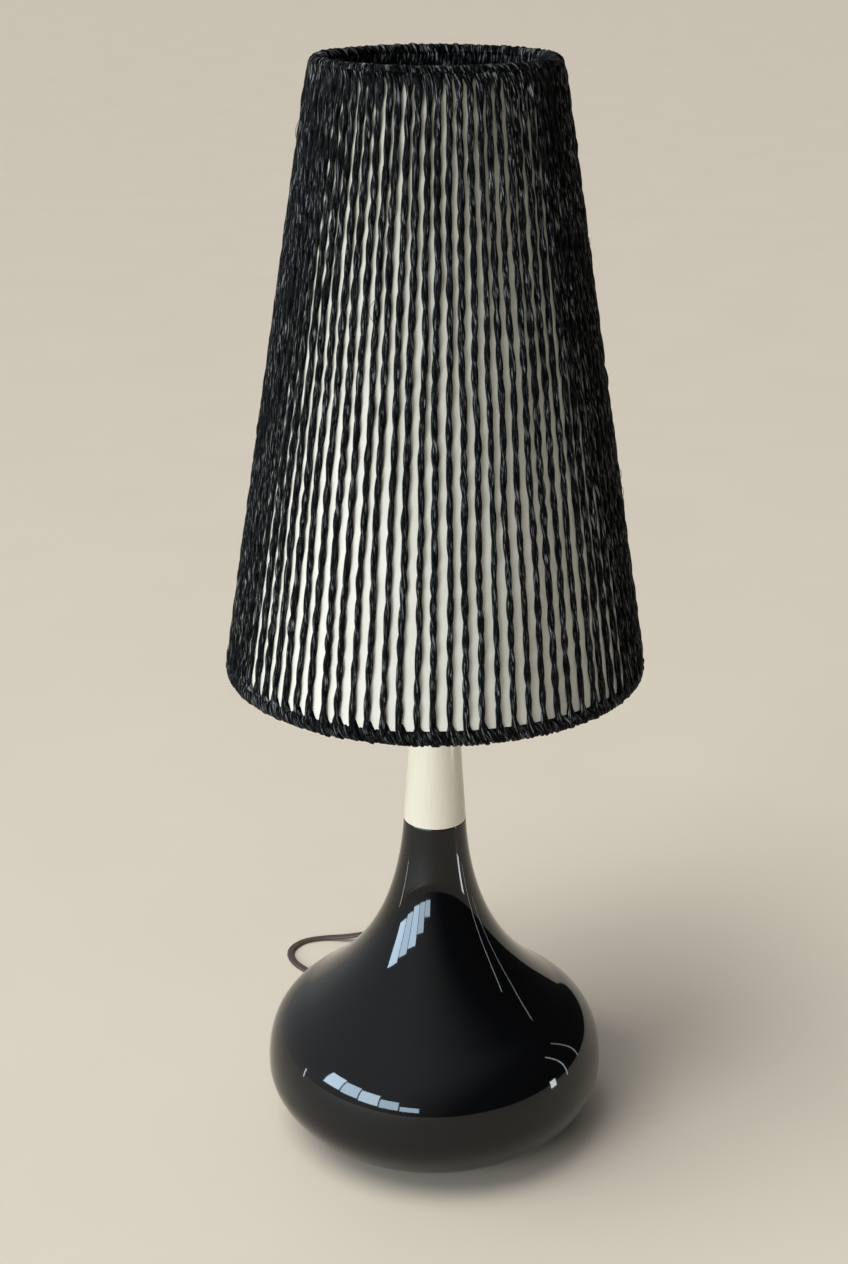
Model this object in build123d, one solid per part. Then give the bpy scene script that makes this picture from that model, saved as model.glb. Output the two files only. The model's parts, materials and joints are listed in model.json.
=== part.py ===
from build123d import *
import math
import os

# Table lamp: a glazed onion-shaped base, a lacquered neck, a tall conical shade wound with string over
# a pale liner, and a twin lead with a rocker switch and a two-pin plug.
# Millimetres, +Z up, +Y to the back. The origin is on the floor under the middle of the foot.

# Base shell
BASE_R = 105.0  # widest radius
BELLY_Z = 44.2  # height of the widest line
FOOT_R = 62.0  # edge of the flat underside
FOOT_SLOPE = 12.8  # degrees, how the underside leaves the foot
WAIST_R = 78.0  # where the bulge turns into the hollow of the throat
WAIST_Z = 91.0
WAIST_SLOPE = 39.2  # degrees above the level
RIM_R = 19.0  # top of the base, where the neck stands
RIM_Z = 210.0
RIM_TAPER = 3.3  # degrees from upright
FOOT_HANDLE = 26.0  # lengths of the curve handles of the turned outline
UNDER_HANDLE = 19.4
BELLY_HANDLE = 32.4
WAIST_LOW_HANDLE = 13.5
WAIST_HIGH_HANDLE = 37.0
RIM_HANDLE = 66.4
BASE_WALL = 5.0
RIM_ROUND = 0.8

# Foot
FELT_T = 2.0
FELT_R = 60.0
FELT_HOLE_R = 33.0
PLATE_R = 49.0
PLATE_T = 2.0
PLATE_LEDGE = 4.0  # how far the shell's ledge reaches in over the plate
PLATE_PAN_R = 28.0  # raised middle that hides the nut
PLATE_PAN_RISE = 4.5
PLATE_LIP = 0.5  # plate above the underside of the shell

# Tube and its nut
TUBE_R = 5.0
TUBE_BORE_R = 3.6
TUBE_IN_HOLDER = 8.5
WASHER_R = 10.0
WASHER_T = 0.8
NUT_ACROSS = 14.0
NUT_T = 3.0

# Neck
NECK_TOP_Z = 300.0
NECK_TOP_R = 12.9
NECK_WALL = 1.5
SEAT_T = 3.0
SEAT_SPIGOT = 7.0
NECK_CAP_T = 1.5
NECK_CAP_PLUG = 4.0

# Lampholder, heights above its underside
HOLDER_CAP_R = 19.8
HOLDER_CAP_H = 18.5
HOLDER_FOOT_R = 12.4
HOLDER_SLOPE_H = 11.0  # top of the cap's conical part
HOLDER_SLOPE_STEP = 0.6  # the cone ends this much higher inside
HOLDER_HUB_WALL = 3.0  # round the tube
HOLDER_WALL = 2.2
HOLDER_R = 19.3  # threaded outside, takes the shade rings
HOLDER_BORE_R = 16.8
HOLDER_TOP = 56.0
HOLDER_SPIGOT = 6.0
INSERT_R = 15.8
INSERT_Z = 13.0
INSERT_T = 9.0
INSERT_HOLE_R = 2.0
SHELL_R = 14.2
SHELL_WALL = 0.5
SHELL_H = 24.0
SHELL_FLANGE_R = 9.0
CONTACT_W = 5.0
CONTACT_T = 0.5
CONTACT_RISE = 3.0
CONTACT_FOOT_X = 7.0  # outer end of the tongue's foot
CONTACT_BEND_X = 3.0  # where the tongue rises from its foot
CONTACT_LEVEL_X = 2.0  # where it is level again
CONTACT_TIP_X = 5.0
TERMINAL_X = 11.5
TERMINAL_SCREW_R = 1.5
TERMINAL_HEAD_R = 2.6
TERMINAL_HEAD_T = 1.8
TERMINAL_SHANK = 6.0
TERMINAL_SLOT_W = 0.8
TERMINAL_SLOT_DEPTH = 0.6

# Shade rings on the lampholder
SHADE_RING_R = 27.0
LOWER_RING_Z = 25.0
LOWER_RING_T = 6.0
UPPER_RING_T = 7.0
RING_NOTCHES = 18
RING_NOTCH_R = 1.3

# Bulb
BULB_R = 30.0
BULB_GLASS_T = 0.8
BULB_CAP_R = 13.1
BULB_CAP_T = 0.4
BULB_CAP_H = 22.5
BULB_CAP_EDGE = 1.0  # chamfer round the cap's lower end
BULB_TIP_R = 4.5
BULB_TIP_T = 1.5
BULB_TIP_SLOPE = 1.0
INSULATOR_LOW_R = 5.5
INSULATOR_HIGH_R = 11.1
BULB_INSULATOR_H = 3.4
BULB_NECK_R = 12.4
BULB_NECK_IN_CAP = 6.0
BULB_NECK_OVER_CAP = 1.0
BULB_MIDDLE = 47.0  # middle of the globe above the cap's edge
BULB_SWELL_OUT = 1.0  # handles of the curve from the neck to the globe's side
BULB_SWELL_UP = 16.0
BULB_SIDE_HANDLE = 22.0
STEM_R = 4.5
STEM_TOP_R = 3.5
STEM_H = 34.0
STEM_FLARE_T = 1.5  # thickness of the flare's rim
STEM_FLARE_H = 9.0
SUPPORT_R = 0.45
SUPPORT_X = 2.0  # where the filament's support wires leave the stem
FILAMENT_R = 0.6
FILAMENT_RISE = 14.0  # above the stem
FILAMENT_SPAN = 22.0

# Shade
SHADE_BOTTOM_R = 118.7  # radius of the bottom wire ring's centre line
SHADE_BOTTOM_Z = 313.7
SHADE_TOP_R = 64.3
SHADE_TOP_Z = 656.0
RING_WIRE_R = 2.0
STRING_R = 1.6
STRING_COUNT = 84
WRAP_R = 5.0
STRUT_R = 1.5
STRUT_COUNT = 6
LINER_T = 0.4
LINER_GAP = 1.2  # from the wound rings to the liner's edges
FITTER_R = 30.0
FITTER_HOLE_R = 20.3
FITTER_T = 2.5
ARM_R = 1.75
ARM_COUNT = 3

# Lead, and where it leaves the base
CORD_R = 2.5
EXIT_ANGLE = 112.0  # degrees from +X
EXIT_Z = 13.0
STOP_LENGTH = 8.0
STOP_WIDTH = 12.0
STOP_AT = FOOT_R - 6.0  # middle of the stop from the lamp's axis, over the flat ring of the foot
RELIEF_STEM_R = 5.0
RELIEF_SHOULDER = BASE_R - 10.0  # distance of the relief's shoulder from the lamp's axis
RELIEF_INNER = STOP_AT + 10.0  # its inner end
RELIEF_LENGTH = 20.0
RELIEF_SHOULDER_R = 5.6
RELIEF_TIP_R = 3.5
INNER_BEND_R = 25.0
INNER_BEND_AT = STOP_AT - 18.0
INNER_RISE_Z = 44.0
EXIT_RUN = 14.0  # how far the lead goes straight on behind the relief
LEAD_R = 0.9
WIRE_OFFSET = 1.2  # of each insulated wire from the middle of the lead
WIRE_RISE = 1.4  # how high the holder's wires rise out of the tube before they bend
WIRE_END_RISE = 2.4
WIRE_BEND_R = 1.2

BEND_SHARE = 0.45  # of the shorter run beside a corner that its arc may take

# Coil of the put-away length: two layers of a round winding
COIL_AT = (7.5, 145.4)
COIL_OUTER_R = 42.5
COIL_INNER_R = 17.5
COIL_H = 10.0

# Rocker switch on the lead
SWITCH_AT = (-5.0, 220.0)
SWITCH_LENGTH = 58.0
SWITCH_WIDTH = 24.0
SWITCH_H = 16.0
SWITCH_WALL = 2.0
SWITCH_END_R = 9.0
SWITCH_ROUND = 1.5
PIVOT_Z = 11.5
PIVOT_R = 1.0
LUG_HALF = 2.5
LUG_IN = 5.6
ROCKER_LENGTH = 14.0
ROCKER_WIDTH = 10.0
ROCKER_TILT = 9.0  # degrees, off at rest
ROCKER_SIDE_LOW = 1.5  # lower corner of the rocker's ends, above the pin
ROCKER_END_DRAFT = 0.4
ROCKER_VALLEY = 1.2
ROCKER_UNDER = 2.5  # underside below the pin
ROCKER_UNDER_DRAFT = 1.5
ROCKER_NUB = 4.5  # end of the nub below the pin
ROCKER_NUB_HALF = 1.5
BRIDGE_FROM_X = 3.0  # contact bridge under the rocker
BRIDGE_TO_X = 5.3
BRIDGE_HALF_Y = 4.0
BRIDGE_T = 0.6
CONTACT_IN_Y = 1.1  # inner side of the fixed contacts
CONTACT_BLOCK_W = 3.5
NOSE_FROM_X = 2.9
NOSE_TO_X = 5.6
CLAMP_TO_X = 14.0
CLAMP_H = 5.0
CLAMP_SCREW_X = 10.0
CLAMP_SCREW_R = 1.0
CLAMP_HOLE_DEPTH = 2.5
CLAMP_SHANK = 2.2
CLAMP_HEAD_R = 1.6
CLAMP_HEAD_T = 1.2
CLAMP_SLOT_W = 0.5
CLAMP_SLOT_DEPTH = 0.45
SPRING_T = 0.4
SPRING_HALF_W = 2.0
SPRING_FOOT_X = -15.5
SPRING_BEND_X = -9.0
SPRING_CREST_X = -1.2
SPRING_TIP_X = 1.4
SPRING_DROP = 0.8  # from the crest to the tip
WINDOW_GAP = 0.9
SWITCH_SCREW_X = 20.0
SWITCH_SCREW_R = 1.4
SWITCH_SCREW_HEAD_R = 2.8
SWITCH_SCREW_HEAD_T = 2.2
BOSS_R = 3.4
SCREW_SLOT_W = 0.9
SCREW_SLOT_DEPTH = 0.8
SWITCH_WIRE_STRAIGHT = 3.4  # in the bore at each end of the switch
SWITCH_WIRE_Y = 7.6  # along the side walls, clear of the posts
SWITCH_WIRE_LIFT = 0.4  # over the floor
SWITCH_WIRE_BEND_R = 1.5

# Plug, lying with its pins towards the front
PLUG_AT = (81.3, 152.0)  # where the lead enters its sleeve
PLUG_SLEEVE = 20.0
PLUG_LENGTH = 34.0
PLUG_BACK_WIDTH = 16.0
PLUG_WIDTH = 30.0
PLUG_H = 14.0
PLUG_ROUND = 2.0
PIN_R = 2.0
PIN_SHANK_R = 1.6  # inside the plug
PIN_LENGTH = 19.0
PIN_IN_PLUG = 10.0
PIN_SPACING = 19.0
PLUG_BORE_DEPTH = 8.0
PLUG_SCREW_R = 1.5
PLUG_SCREW_HEAD_R = 3.0
PLUG_SCREW_HEAD_T = 2.0

# Clearances
FIT = 0.05  # a shaft in its hole
GAP = 0.1  # flat faces and sleeves that are assembled by hand
CLEAR = 0.3  # parts that pass each other
OVERSHOOT = 1.0  # how far a shape that cuts, or is trimmed, reaches past the face

# The lead's routes, chosen by hand: from the relief to the switch, from the switch into the coil, and
# from the coil to the plug. The first points follow from where the lead is held.
EXIT_DIRECTION = Vector(math.cos(math.radians(EXIT_ANGLE)), math.sin(math.radians(EXIT_ANGLE)), 0)
EXIT_POINT = EXIT_DIRECTION * (RELIEF_SHOULDER + RELIEF_LENGTH) + Vector(0, 0, EXIT_Z)
SWITCH_IN = (SWITCH_AT[0] - SWITCH_LENGTH / 2, SWITCH_AT[1], SWITCH_H / 2)
SWITCH_OUT = (SWITCH_AT[0] + SWITCH_LENGTH / 2, SWITCH_AT[1], SWITCH_H / 2)
PLUG_IN = (PLUG_AT[0], PLUG_AT[1], PLUG_H / 2)
LAMP_LEAD_ROUTE = [
    EXIT_POINT,
    EXIT_POINT + EXIT_DIRECTION * EXIT_RUN,
    (-57.0, 138.5, 7.6),
    (-70.0, 156.0, 3.0),
    (-88.0, 170.5, 2.5),
    (-103.5, 187.5, 2.5),
    (-107.5, 204.5, 2.5),
    (-99.0, 219.0, 2.5),
    (-82.5, 224.5, 2.5),
    (-65.0, 222.0, 4.2),
    (-48.0, 220.0, 8.0),
    SWITCH_IN,
]
SWITCH_LEAD_ROUTE = [
    SWITCH_OUT,
    (38.0, 220.0, 8.0),
    (47.9, 210.1, 6.6),
    (47.9, 196.1, 4.0),
    (38.0, 186.2, 2.5),
    (24.0, 185.6, 2.5),
    (10.0, 185.4, 2.5),
]
PLUG_LEAD_ROUTE = [
    (47.5, 152.0, 7.5),
    (47.5, 166.0, 7.5),
    (57.4, 175.9, 6.0),
    (71.4, 175.9, 5.4),
    (81.3, 166.0, 7.0),
    PLUG_IN,
]


def profile(*points):
    """A flat face in the plane of the lamp's axis from its corners, given as radius and height."""
    return Plane.XZ * make_face(Polyline(*points, close=True))


def turned(*points):
    """A solid turned about the lamp's axis from its corners, given as radius and height."""
    return revolve(profile(*points), Axis.Z)


def ring(outer, inner, low, high):
    """A plain ring about the lamp's axis."""
    return turned((inner, low), (outer, low), (outer, high), (inner, high))


def rod(start, end, radius):
    """A round rod from one point to another."""
    start = Vector(start)
    along = Vector(end) - start
    upright = (Align.CENTER, Align.CENTER, Align.MIN)
    return Plane(origin=start, z_dir=along) * Cylinder(radius, along.length, align=upright)


def block(low, high):
    """A box from its lowest to its highest corner."""
    size = Vector(high) - Vector(low)
    return Pos(low) * Box(size.X, size.Y, size.Z, align=Align.MIN)


def around(solid, count, first=0.0):
    """Copies of a solid spaced evenly about the lamp's axis."""
    return Compound([Rot(0, 0, first + turn * 360 / count) * solid.solid() for turn in range(count)])


def group(*solids):
    """Separate solids that share one node."""
    return Compound([solid.solid() for solid in solids])


def tube_along(path, radius):
    """A round tube that follows a path."""
    return sweep((path ^ 0) * Circle(radius), path=path)


def route_radii(route):
    """For each corner, a share of its shorter run over the tangent of half its turn."""
    points = [Vector(point) for point in route]
    radii = []
    for before, corner, after in zip(points, points[1:], points[2:]):
        arriving = corner - before
        leaving = after - corner
        half_turn = math.radians(arriving.get_angle(leaving)) / 2
        radii.append(BEND_SHARE * min(arriving.length, leaving.length) / math.tan(half_turn))
    return radii


def lead_tube(name, route):
    """One stretch of the lead, along straight runs joined by arcs."""
    radii = route_radii(route)
    path = FilletPolyline(*route, radius=radii)
    tube = tube_along(path, CORD_R)
    print(name, "radii", [round(radius) for radius in radii])
    over_section = tube.volume / (math.pi * CORD_R**2)
    print(name, "length", round(path.length, 1), "volume over section", round(over_section, 1))
    return tube


# Base


def polar(length, degrees):
    """A step in the outline's plane, at an angle above the level."""
    return Vector(math.cos(math.radians(degrees)), math.sin(math.radians(degrees))) * length


def shell_curves(inset):
    """The turned outline from the foot to the rim in three curves, moved inwards by inset."""
    foot = Vector(FOOT_R, FELT_T + inset)
    belly = Vector(BASE_R - inset, BELLY_Z)
    waist = Vector(WAIST_R, WAIST_Z) - polar(inset, 90 - WAIST_SLOPE)
    rim = Vector(RIM_R - inset, RIM_Z)
    under = Bezier(foot, foot + polar(FOOT_HANDLE, FOOT_SLOPE), belly - Vector(0, UNDER_HANDLE), belly)
    low_handle = waist - polar(WAIST_LOW_HANDLE, 180 - WAIST_SLOPE)
    shoulder = Bezier(belly, belly + Vector(0, BELLY_HANDLE), low_handle, waist)
    high_handle = waist + polar(WAIST_HIGH_HANDLE, 180 - WAIST_SLOPE)
    throat = Bezier(waist, high_handle, rim - polar(RIM_HANDLE, 90 + RIM_TAPER), rim)
    return under, shoulder, throat


def base_body():
    """The hollow glazed shell, with a ledge for the plate and a hole for the lead."""
    outer = shell_curves(0)
    inner = shell_curves(BASE_WALL)
    ledge_z = FELT_T + PLATE_LIP + PLATE_T
    floor = Polyline(
        inner[0] @ 0,
        (PLATE_R - PLATE_LEDGE, FELT_T + BASE_WALL),
        (PLATE_R - PLATE_LEDGE, ledge_z),
        (PLATE_R + CLEAR, ledge_z),
        (PLATE_R + CLEAR, FELT_T),
        outer[0] @ 0,
    )
    rim = Line(outer[2] @ 1, inner[2] @ 1)
    shell = revolve(Plane.XZ * make_face([*outer, rim, *inner, floor]), Axis.Z)
    circles = shell.edges().filter_by(GeomType.CIRCLE)
    rim_edges = [edge for edge in circles if abs(edge.center().Z - RIM_Z) < FIT]
    shell = fillet(max(rim_edges, key=lambda edge: edge.radius), RIM_ROUND)
    hole = rod(exit_place(RELIEF_INNER - CLEAR), exit_place(BASE_R + BASE_WALL), RELIEF_STEM_R + FIT)
    return shell - hole


def felt_pad():
    """The felt ring that the lamp stands on."""
    return ring(FELT_R, FELT_HOLE_R, 0, FELT_T)


def plate_underside():
    """Height of the plate's raised middle, where the washer bears."""
    return FELT_T + PLATE_LIP + PLATE_PAN_RISE


def base_plate():
    """The pressed steel plate that closes the base, with a raised middle."""
    rim_z = FELT_T + PLATE_LIP
    pan_z = plate_underside()
    hole = TUBE_R + GAP
    return turned(
        (hole, pan_z),
        (PLATE_PAN_R - PLATE_PAN_RISE, pan_z),
        (PLATE_PAN_R, rim_z),
        (PLATE_R, rim_z),
        (PLATE_R, rim_z + PLATE_T),
        (PLATE_PAN_R + PLATE_T / 2, rim_z + PLATE_T),
        (PLATE_PAN_R + PLATE_T / 2 - PLATE_PAN_RISE, pan_z + PLATE_T),
        (hole, pan_z + PLATE_T),
    )


def plate_washer():
    """The washer under the plate."""
    high = plate_underside()
    return ring(WASHER_R, TUBE_R + FIT, high - WASHER_T, high)


def plate_nut():
    """The hexagon nut that pulls the whole stack together."""
    high = plate_underside() - WASHER_T
    outline = RegularPolygon(NUT_ACROSS / 2, 6, major_radius=False) - Circle(TUBE_R + FIT)
    return Pos(0, 0, high - NUT_T) * extrude(outline, NUT_T)


def holder_z():
    """Height of the lampholder's underside."""
    return NECK_TOP_Z + NECK_CAP_T


def inner_cord_path():
    """Through the relief, across the hollow of the base and up the middle of the tube."""
    low_bend = EXIT_DIRECTION * INNER_BEND_AT + Vector(0, 0, EXIT_Z)
    top = Vector(0, 0, holder_z())
    return FilletPolyline(EXIT_POINT, low_bend, (0, 0, INNER_RISE_Z), top, radius=INNER_BEND_R)


def threaded_tube():
    """The steel tube from the nut to the lampholder, with a slot where the lead enters it."""
    low = plate_underside() - WASHER_T - NUT_T - PLATE_LIP
    tube = ring(TUBE_R, TUBE_BORE_R, low, holder_z() + TUBE_IN_HOLDER)
    return tube - tube_along(inner_cord_path(), CORD_R + CLEAR)


def exit_place(distance):
    """A point on the line along which the lead leaves the base."""
    return EXIT_DIRECTION * distance + Vector(0, 0, EXIT_Z)


def cord_relief():
    """The rubber sleeve that holds the lead in the hole of the base."""
    shoulder = exit_place(RELIEF_SHOULDER)
    stem = rod(exit_place(RELIEF_INNER), shoulder, RELIEF_STEM_R)
    upright = (Align.CENTER, Align.CENTER, Align.MIN)
    taper = Plane(origin=shoulder, z_dir=EXIT_DIRECTION) * Cone(
        RELIEF_SHOULDER_R, RELIEF_TIP_R, RELIEF_LENGTH, align=upright
    )
    bore = rod(exit_place(RELIEF_INNER - OVERSHOOT), EXIT_POINT + EXIT_DIRECTION * OVERSHOOT, CORD_R + FIT)
    return stem + taper - bore


def cord_stop():
    """The clamp on the lead inside the base, which keeps a pull off the wires."""
    half_height = EXIT_Z - FELT_T - BASE_WALL - CLEAR
    clamp = Plane(origin=exit_place(STOP_AT), x_dir=EXIT_DIRECTION, z_dir=(0, 0, 1)) * Box(
        STOP_LENGTH, STOP_WIDTH, 2 * half_height
    )
    return clamp - rod(exit_place(STOP_AT - STOP_LENGTH), exit_place(STOP_AT + STOP_LENGTH), CORD_R + FIT)


def inner_cord():
    """The stretch of the lead that the lamp holds."""
    return tube_along(inner_cord_path(), CORD_R)


# Neck


def neck_radius(height):
    """Outer radius of the neck at a height."""
    share = (height - RIM_Z) / (NECK_TOP_Z - RIM_Z)
    return RIM_R + (NECK_TOP_R - RIM_R) * share


def neck_sleeve():
    """The thin lacquered cone between the base and the lampholder."""
    return turned(
        (RIM_R - NECK_WALL, RIM_Z),
        (RIM_R, RIM_Z),
        (NECK_TOP_R, NECK_TOP_Z),
        (NECK_TOP_R - NECK_WALL, NECK_TOP_Z),
    )


def neck_seat():
    """The disc that centres the neck and the tube in the rim of the base."""
    flange = neck_radius(RIM_Z + SEAT_T) - NECK_WALL - GAP
    spigot = RIM_R - BASE_WALL - GAP
    return turned(
        (TUBE_R + FIT, RIM_Z - SEAT_SPIGOT),
        (spigot, RIM_Z - SEAT_SPIGOT),
        (spigot, RIM_Z),
        (flange, RIM_Z),
        (flange, RIM_Z + SEAT_T),
        (TUBE_R + FIT, RIM_Z + SEAT_T),
    )


def neck_cap():
    """The disc that closes the top of the neck and carries the lampholder."""
    plug = NECK_TOP_R - NECK_WALL - GAP
    return turned(
        (TUBE_R + FIT, NECK_TOP_Z - NECK_CAP_PLUG),
        (plug, NECK_TOP_Z - NECK_CAP_PLUG),
        (plug, NECK_TOP_Z),
        (NECK_TOP_R, NECK_TOP_Z),
        (NECK_TOP_R, holder_z()),
        (TUBE_R + FIT, holder_z()),
    )


# Lampholder


def in_holder(solid):
    """Moves a piece that is drawn from the lampholder's underside to its height."""
    return Pos(0, 0, holder_z()) * solid


def holder_cap():
    """The moulded cap that screws onto the tube."""
    hub = TUBE_R + HOLDER_HUB_WALL
    piece = turned(
        (TUBE_R + FIT, 0),
        (HOLDER_FOOT_R, 0),
        (HOLDER_FOOT_R, HOLDER_WALL),
        (HOLDER_CAP_R, HOLDER_SLOPE_H),
        (HOLDER_CAP_R, HOLDER_CAP_H),
        (HOLDER_CAP_R - HOLDER_WALL, HOLDER_CAP_H),
        (HOLDER_CAP_R - HOLDER_WALL, HOLDER_SLOPE_H + HOLDER_SLOPE_STEP),
        (HOLDER_FOOT_R - HOLDER_WALL / 2, 2 * HOLDER_WALL),
        (hub, 2 * HOLDER_WALL),
        (hub, TUBE_IN_HOLDER),
        (TUBE_R + FIT, TUBE_IN_HOLDER),
    )
    return in_holder(piece)


def holder_body():
    """The moulded outer part, threaded for the shade rings."""
    spigot = HOLDER_CAP_R - HOLDER_WALL - GAP
    piece = turned(
        (INSERT_R + GAP, HOLDER_CAP_H - HOLDER_SPIGOT),
        (spigot, HOLDER_CAP_H - HOLDER_SPIGOT),
        (spigot, HOLDER_CAP_H + GAP),
        (HOLDER_R, HOLDER_CAP_H + GAP),
        (HOLDER_R, HOLDER_TOP),
        (HOLDER_BORE_R, HOLDER_TOP),
        (HOLDER_BORE_R, INSERT_Z + INSERT_T + GAP),
        (INSERT_R + GAP, INSERT_Z + INSERT_T + GAP),
    )
    return in_holder(piece)


def holder_insert():
    """The porcelain disc that carries the contacts."""
    disc = ring(INSERT_R, INSERT_HOLE_R, INSERT_Z, INSERT_Z + INSERT_T)
    for side in (-1, 1):
        disc -= Pos(side * TERMINAL_X, 0, INSERT_Z) * Cylinder(TERMINAL_SCREW_R + FIT, 2 * INSERT_T)
        disc -= Pos(0, side * TERMINAL_X, INSERT_Z) * Cylinder(LEAD_R + CLEAR, 3 * INSERT_T)
    return in_holder(disc)


def terminal_screws():
    """The two screws that clamp the wires under the insert."""
    screws = []
    for side in (-1, 1):
        place = Pos(side * TERMINAL_X, 0, INSERT_Z)
        head = Pos(0, 0, -TERMINAL_HEAD_T / 2) * Cylinder(TERMINAL_HEAD_R, TERMINAL_HEAD_T)
        shank = Pos(0, 0, TERMINAL_SHANK / 2) * Cylinder(TERMINAL_SCREW_R, TERMINAL_SHANK)
        slot = Box(2 * TERMINAL_HEAD_R, TERMINAL_SLOT_W, 2 * TERMINAL_SLOT_DEPTH)
        screws.append(in_holder(place * (head + shank - Pos(0, 0, -TERMINAL_HEAD_T) * slot)))
    return group(*screws)


def screw_shell():
    """The brass shell that the bulb screws into."""
    low = INSERT_Z + INSERT_T
    piece = turned(
        (SHELL_FLANGE_R, low),
        (SHELL_R, low),
        (SHELL_R, low + SHELL_H),
        (SHELL_R - SHELL_WALL, low + SHELL_H),
        (SHELL_R - SHELL_WALL, low + SHELL_WALL),
        (SHELL_FLANGE_R, low + SHELL_WALL),
    )
    return in_holder(piece)


def contact_top():
    """Height of the middle contact above the lampholder's underside."""
    return INSERT_Z + INSERT_T + CONTACT_RISE + CONTACT_T


def centre_contact():
    """The springy brass tongue under the bulb's tip."""
    low = INSERT_Z + INSERT_T
    high = contact_top()
    outline = make_face(
        Polyline(
            (-CONTACT_FOOT_X, low),
            (-CONTACT_BEND_X, low),
            (CONTACT_LEVEL_X, high - CONTACT_T),
            (CONTACT_TIP_X, high - CONTACT_T),
            (CONTACT_TIP_X, high),
            (CONTACT_LEVEL_X - CONTACT_T / 2, high),
            (-CONTACT_BEND_X - CONTACT_T / 2, low + CONTACT_T),
            (-CONTACT_FOOT_X, low + CONTACT_T),
            close=True,
        )
    )
    return in_holder(extrude(Plane.XZ * outline, CONTACT_W / 2, both=True))


def holder_wire(side):
    """An insulated wire from the end of the lead to its terminal."""
    start_x = side * WIRE_OFFSET
    tube_end = holder_z() + TUBE_IN_HOLDER
    path = FilletPolyline(
        (start_x, 0, holder_z()),
        (start_x, 0, tube_end + WIRE_RISE),
        (side * (TERMINAL_X - TERMINAL_HEAD_R), 0, tube_end + WIRE_END_RISE),
        radius=WIRE_BEND_R,
    )
    return tube_along(path, LEAD_R)


def notched_ring(low, height):
    """A moulded shade ring with finger notches round its edge."""
    body = ring(SHADE_RING_R, HOLDER_R + FIT, low, low + height)
    notch = Cylinder(RING_NOTCH_R, height + 2 * OVERSHOOT)
    notch = Pos(SHADE_RING_R + RING_NOTCH_R / 2, 0, low + height / 2) * notch
    return in_holder(body - around(notch, RING_NOTCHES))


def fitter_low():
    """Underside of the shade's fitter ring, above the lampholder's underside."""
    return LOWER_RING_Z + LOWER_RING_T + GAP


def lower_shade_ring():
    """The ring that the shade rests on."""
    return notched_ring(LOWER_RING_Z, LOWER_RING_T)


def upper_shade_ring():
    """The ring that clamps the shade."""
    return notched_ring(fitter_low() + FITTER_T + GAP, UPPER_RING_T)


# Bulb


def bulb_edge():
    """Top edge of the bulb's metal cap."""
    return contact_top() + CLEAR + BULB_TIP_T + BULB_INSULATOR_H + BULB_CAP_H


def bulb_contact():
    """The soldered tip of the bulb."""
    low = contact_top() + CLEAR
    high = low + BULB_TIP_T
    return in_holder(turned((0, low), (BULB_TIP_R - BULB_TIP_SLOPE, low), (BULB_TIP_R, high), (0, high)))


def bulb_insulator():
    """The black glass cone between the tip and the cap."""
    low = contact_top() + CLEAR + BULB_TIP_T
    high = low + BULB_INSULATOR_H
    return in_holder(turned((0, low), (INSULATOR_LOW_R, low), (INSULATOR_HIGH_R, high), (0, high)))


def bulb_cap():
    """The thin metal cap of the bulb."""
    high = bulb_edge()
    low = high - BULB_CAP_H
    piece = turned(
        (0, low),
        (BULB_CAP_R - BULB_CAP_EDGE, low),
        (BULB_CAP_R, low + BULB_CAP_EDGE),
        (BULB_CAP_R, high),
        (BULB_CAP_R - BULB_CAP_T, high),
        (BULB_CAP_R - BULB_CAP_T, low + BULB_CAP_EDGE),
        (BULB_CAP_R - 3 * BULB_CAP_T, low + BULB_CAP_T),
        (0, low + BULB_CAP_T),
    )
    return in_holder(piece)


def bulb_outline(inset):
    """Half the outline of the glass from inside the cap over the globe to its top, moved inwards by inset."""
    edge = bulb_edge()
    middle = edge + BULB_MIDDLE
    radius = BULB_R - inset
    start = Vector(BULB_NECK_R - inset, edge - BULB_NECK_IN_CAP)
    neck = Vector(BULB_NECK_R - inset, edge + BULB_NECK_OVER_CAP)
    side = Vector(radius, middle)
    crown = Vector(0, middle + radius)
    neck_handle = neck + Vector(BULB_SWELL_OUT, BULB_SWELL_UP)
    swell = Bezier(neck, neck_handle, side - Vector(0, BULB_SIDE_HANDLE), side)
    globe = CenterArc((0, middle), radius, 0, 90)
    return [Line(start, neck), swell, globe], start, crown


def bulb_glass():
    """The thin glass of the bulb."""
    outer, outer_start, outer_crown = bulb_outline(0)
    inner, inner_start, inner_crown = bulb_outline(BULB_GLASS_T)
    closing = [Line(outer_start, inner_start), Line(outer_crown, inner_crown)]
    face = make_face([*outer, *inner, *closing])
    return in_holder(revolve(Plane.XZ * face, Axis.Z))


def stem_top():
    """Top of the glass stem inside the bulb."""
    return bulb_edge() - BULB_NECK_IN_CAP + STEM_H


def bulb_stem():
    """The glass stem, flared at its foot, that seals the bulb."""
    low = bulb_edge() - BULB_NECK_IN_CAP
    flare = BULB_NECK_R - BULB_GLASS_T - FIT
    piece = turned(
        (0, low),
        (flare, low),
        (flare, low + STEM_FLARE_T),
        (STEM_R, low + STEM_FLARE_H),
        (STEM_TOP_R, stem_top()),
        (0, stem_top()),
    )
    return in_holder(piece)


def bulb_filament():
    """The coiled filament bent round its two support wires."""
    half = FILAMENT_SPAN / 2
    high = stem_top() + FILAMENT_RISE
    wires = []
    for side in (-1, 1):
        foot = (side * SUPPORT_X, 0, stem_top())
        wires.append(rod(foot, (side * half, 0, high), SUPPORT_R))
    coil = Pos(0, 0, high) * Rot(0, 90, 0) * Cylinder(FILAMENT_R, FILAMENT_SPAN)
    return in_holder(wires[0] + wires[1] + coil) - bulb_stem()


# Shade


def slant():
    """Length of the shade's side, and its step in radius and height."""
    rise = Vector(SHADE_TOP_R - SHADE_BOTTOM_R, SHADE_TOP_Z - SHADE_BOTTOM_Z)
    return rise.length, rise.normalized()


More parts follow.
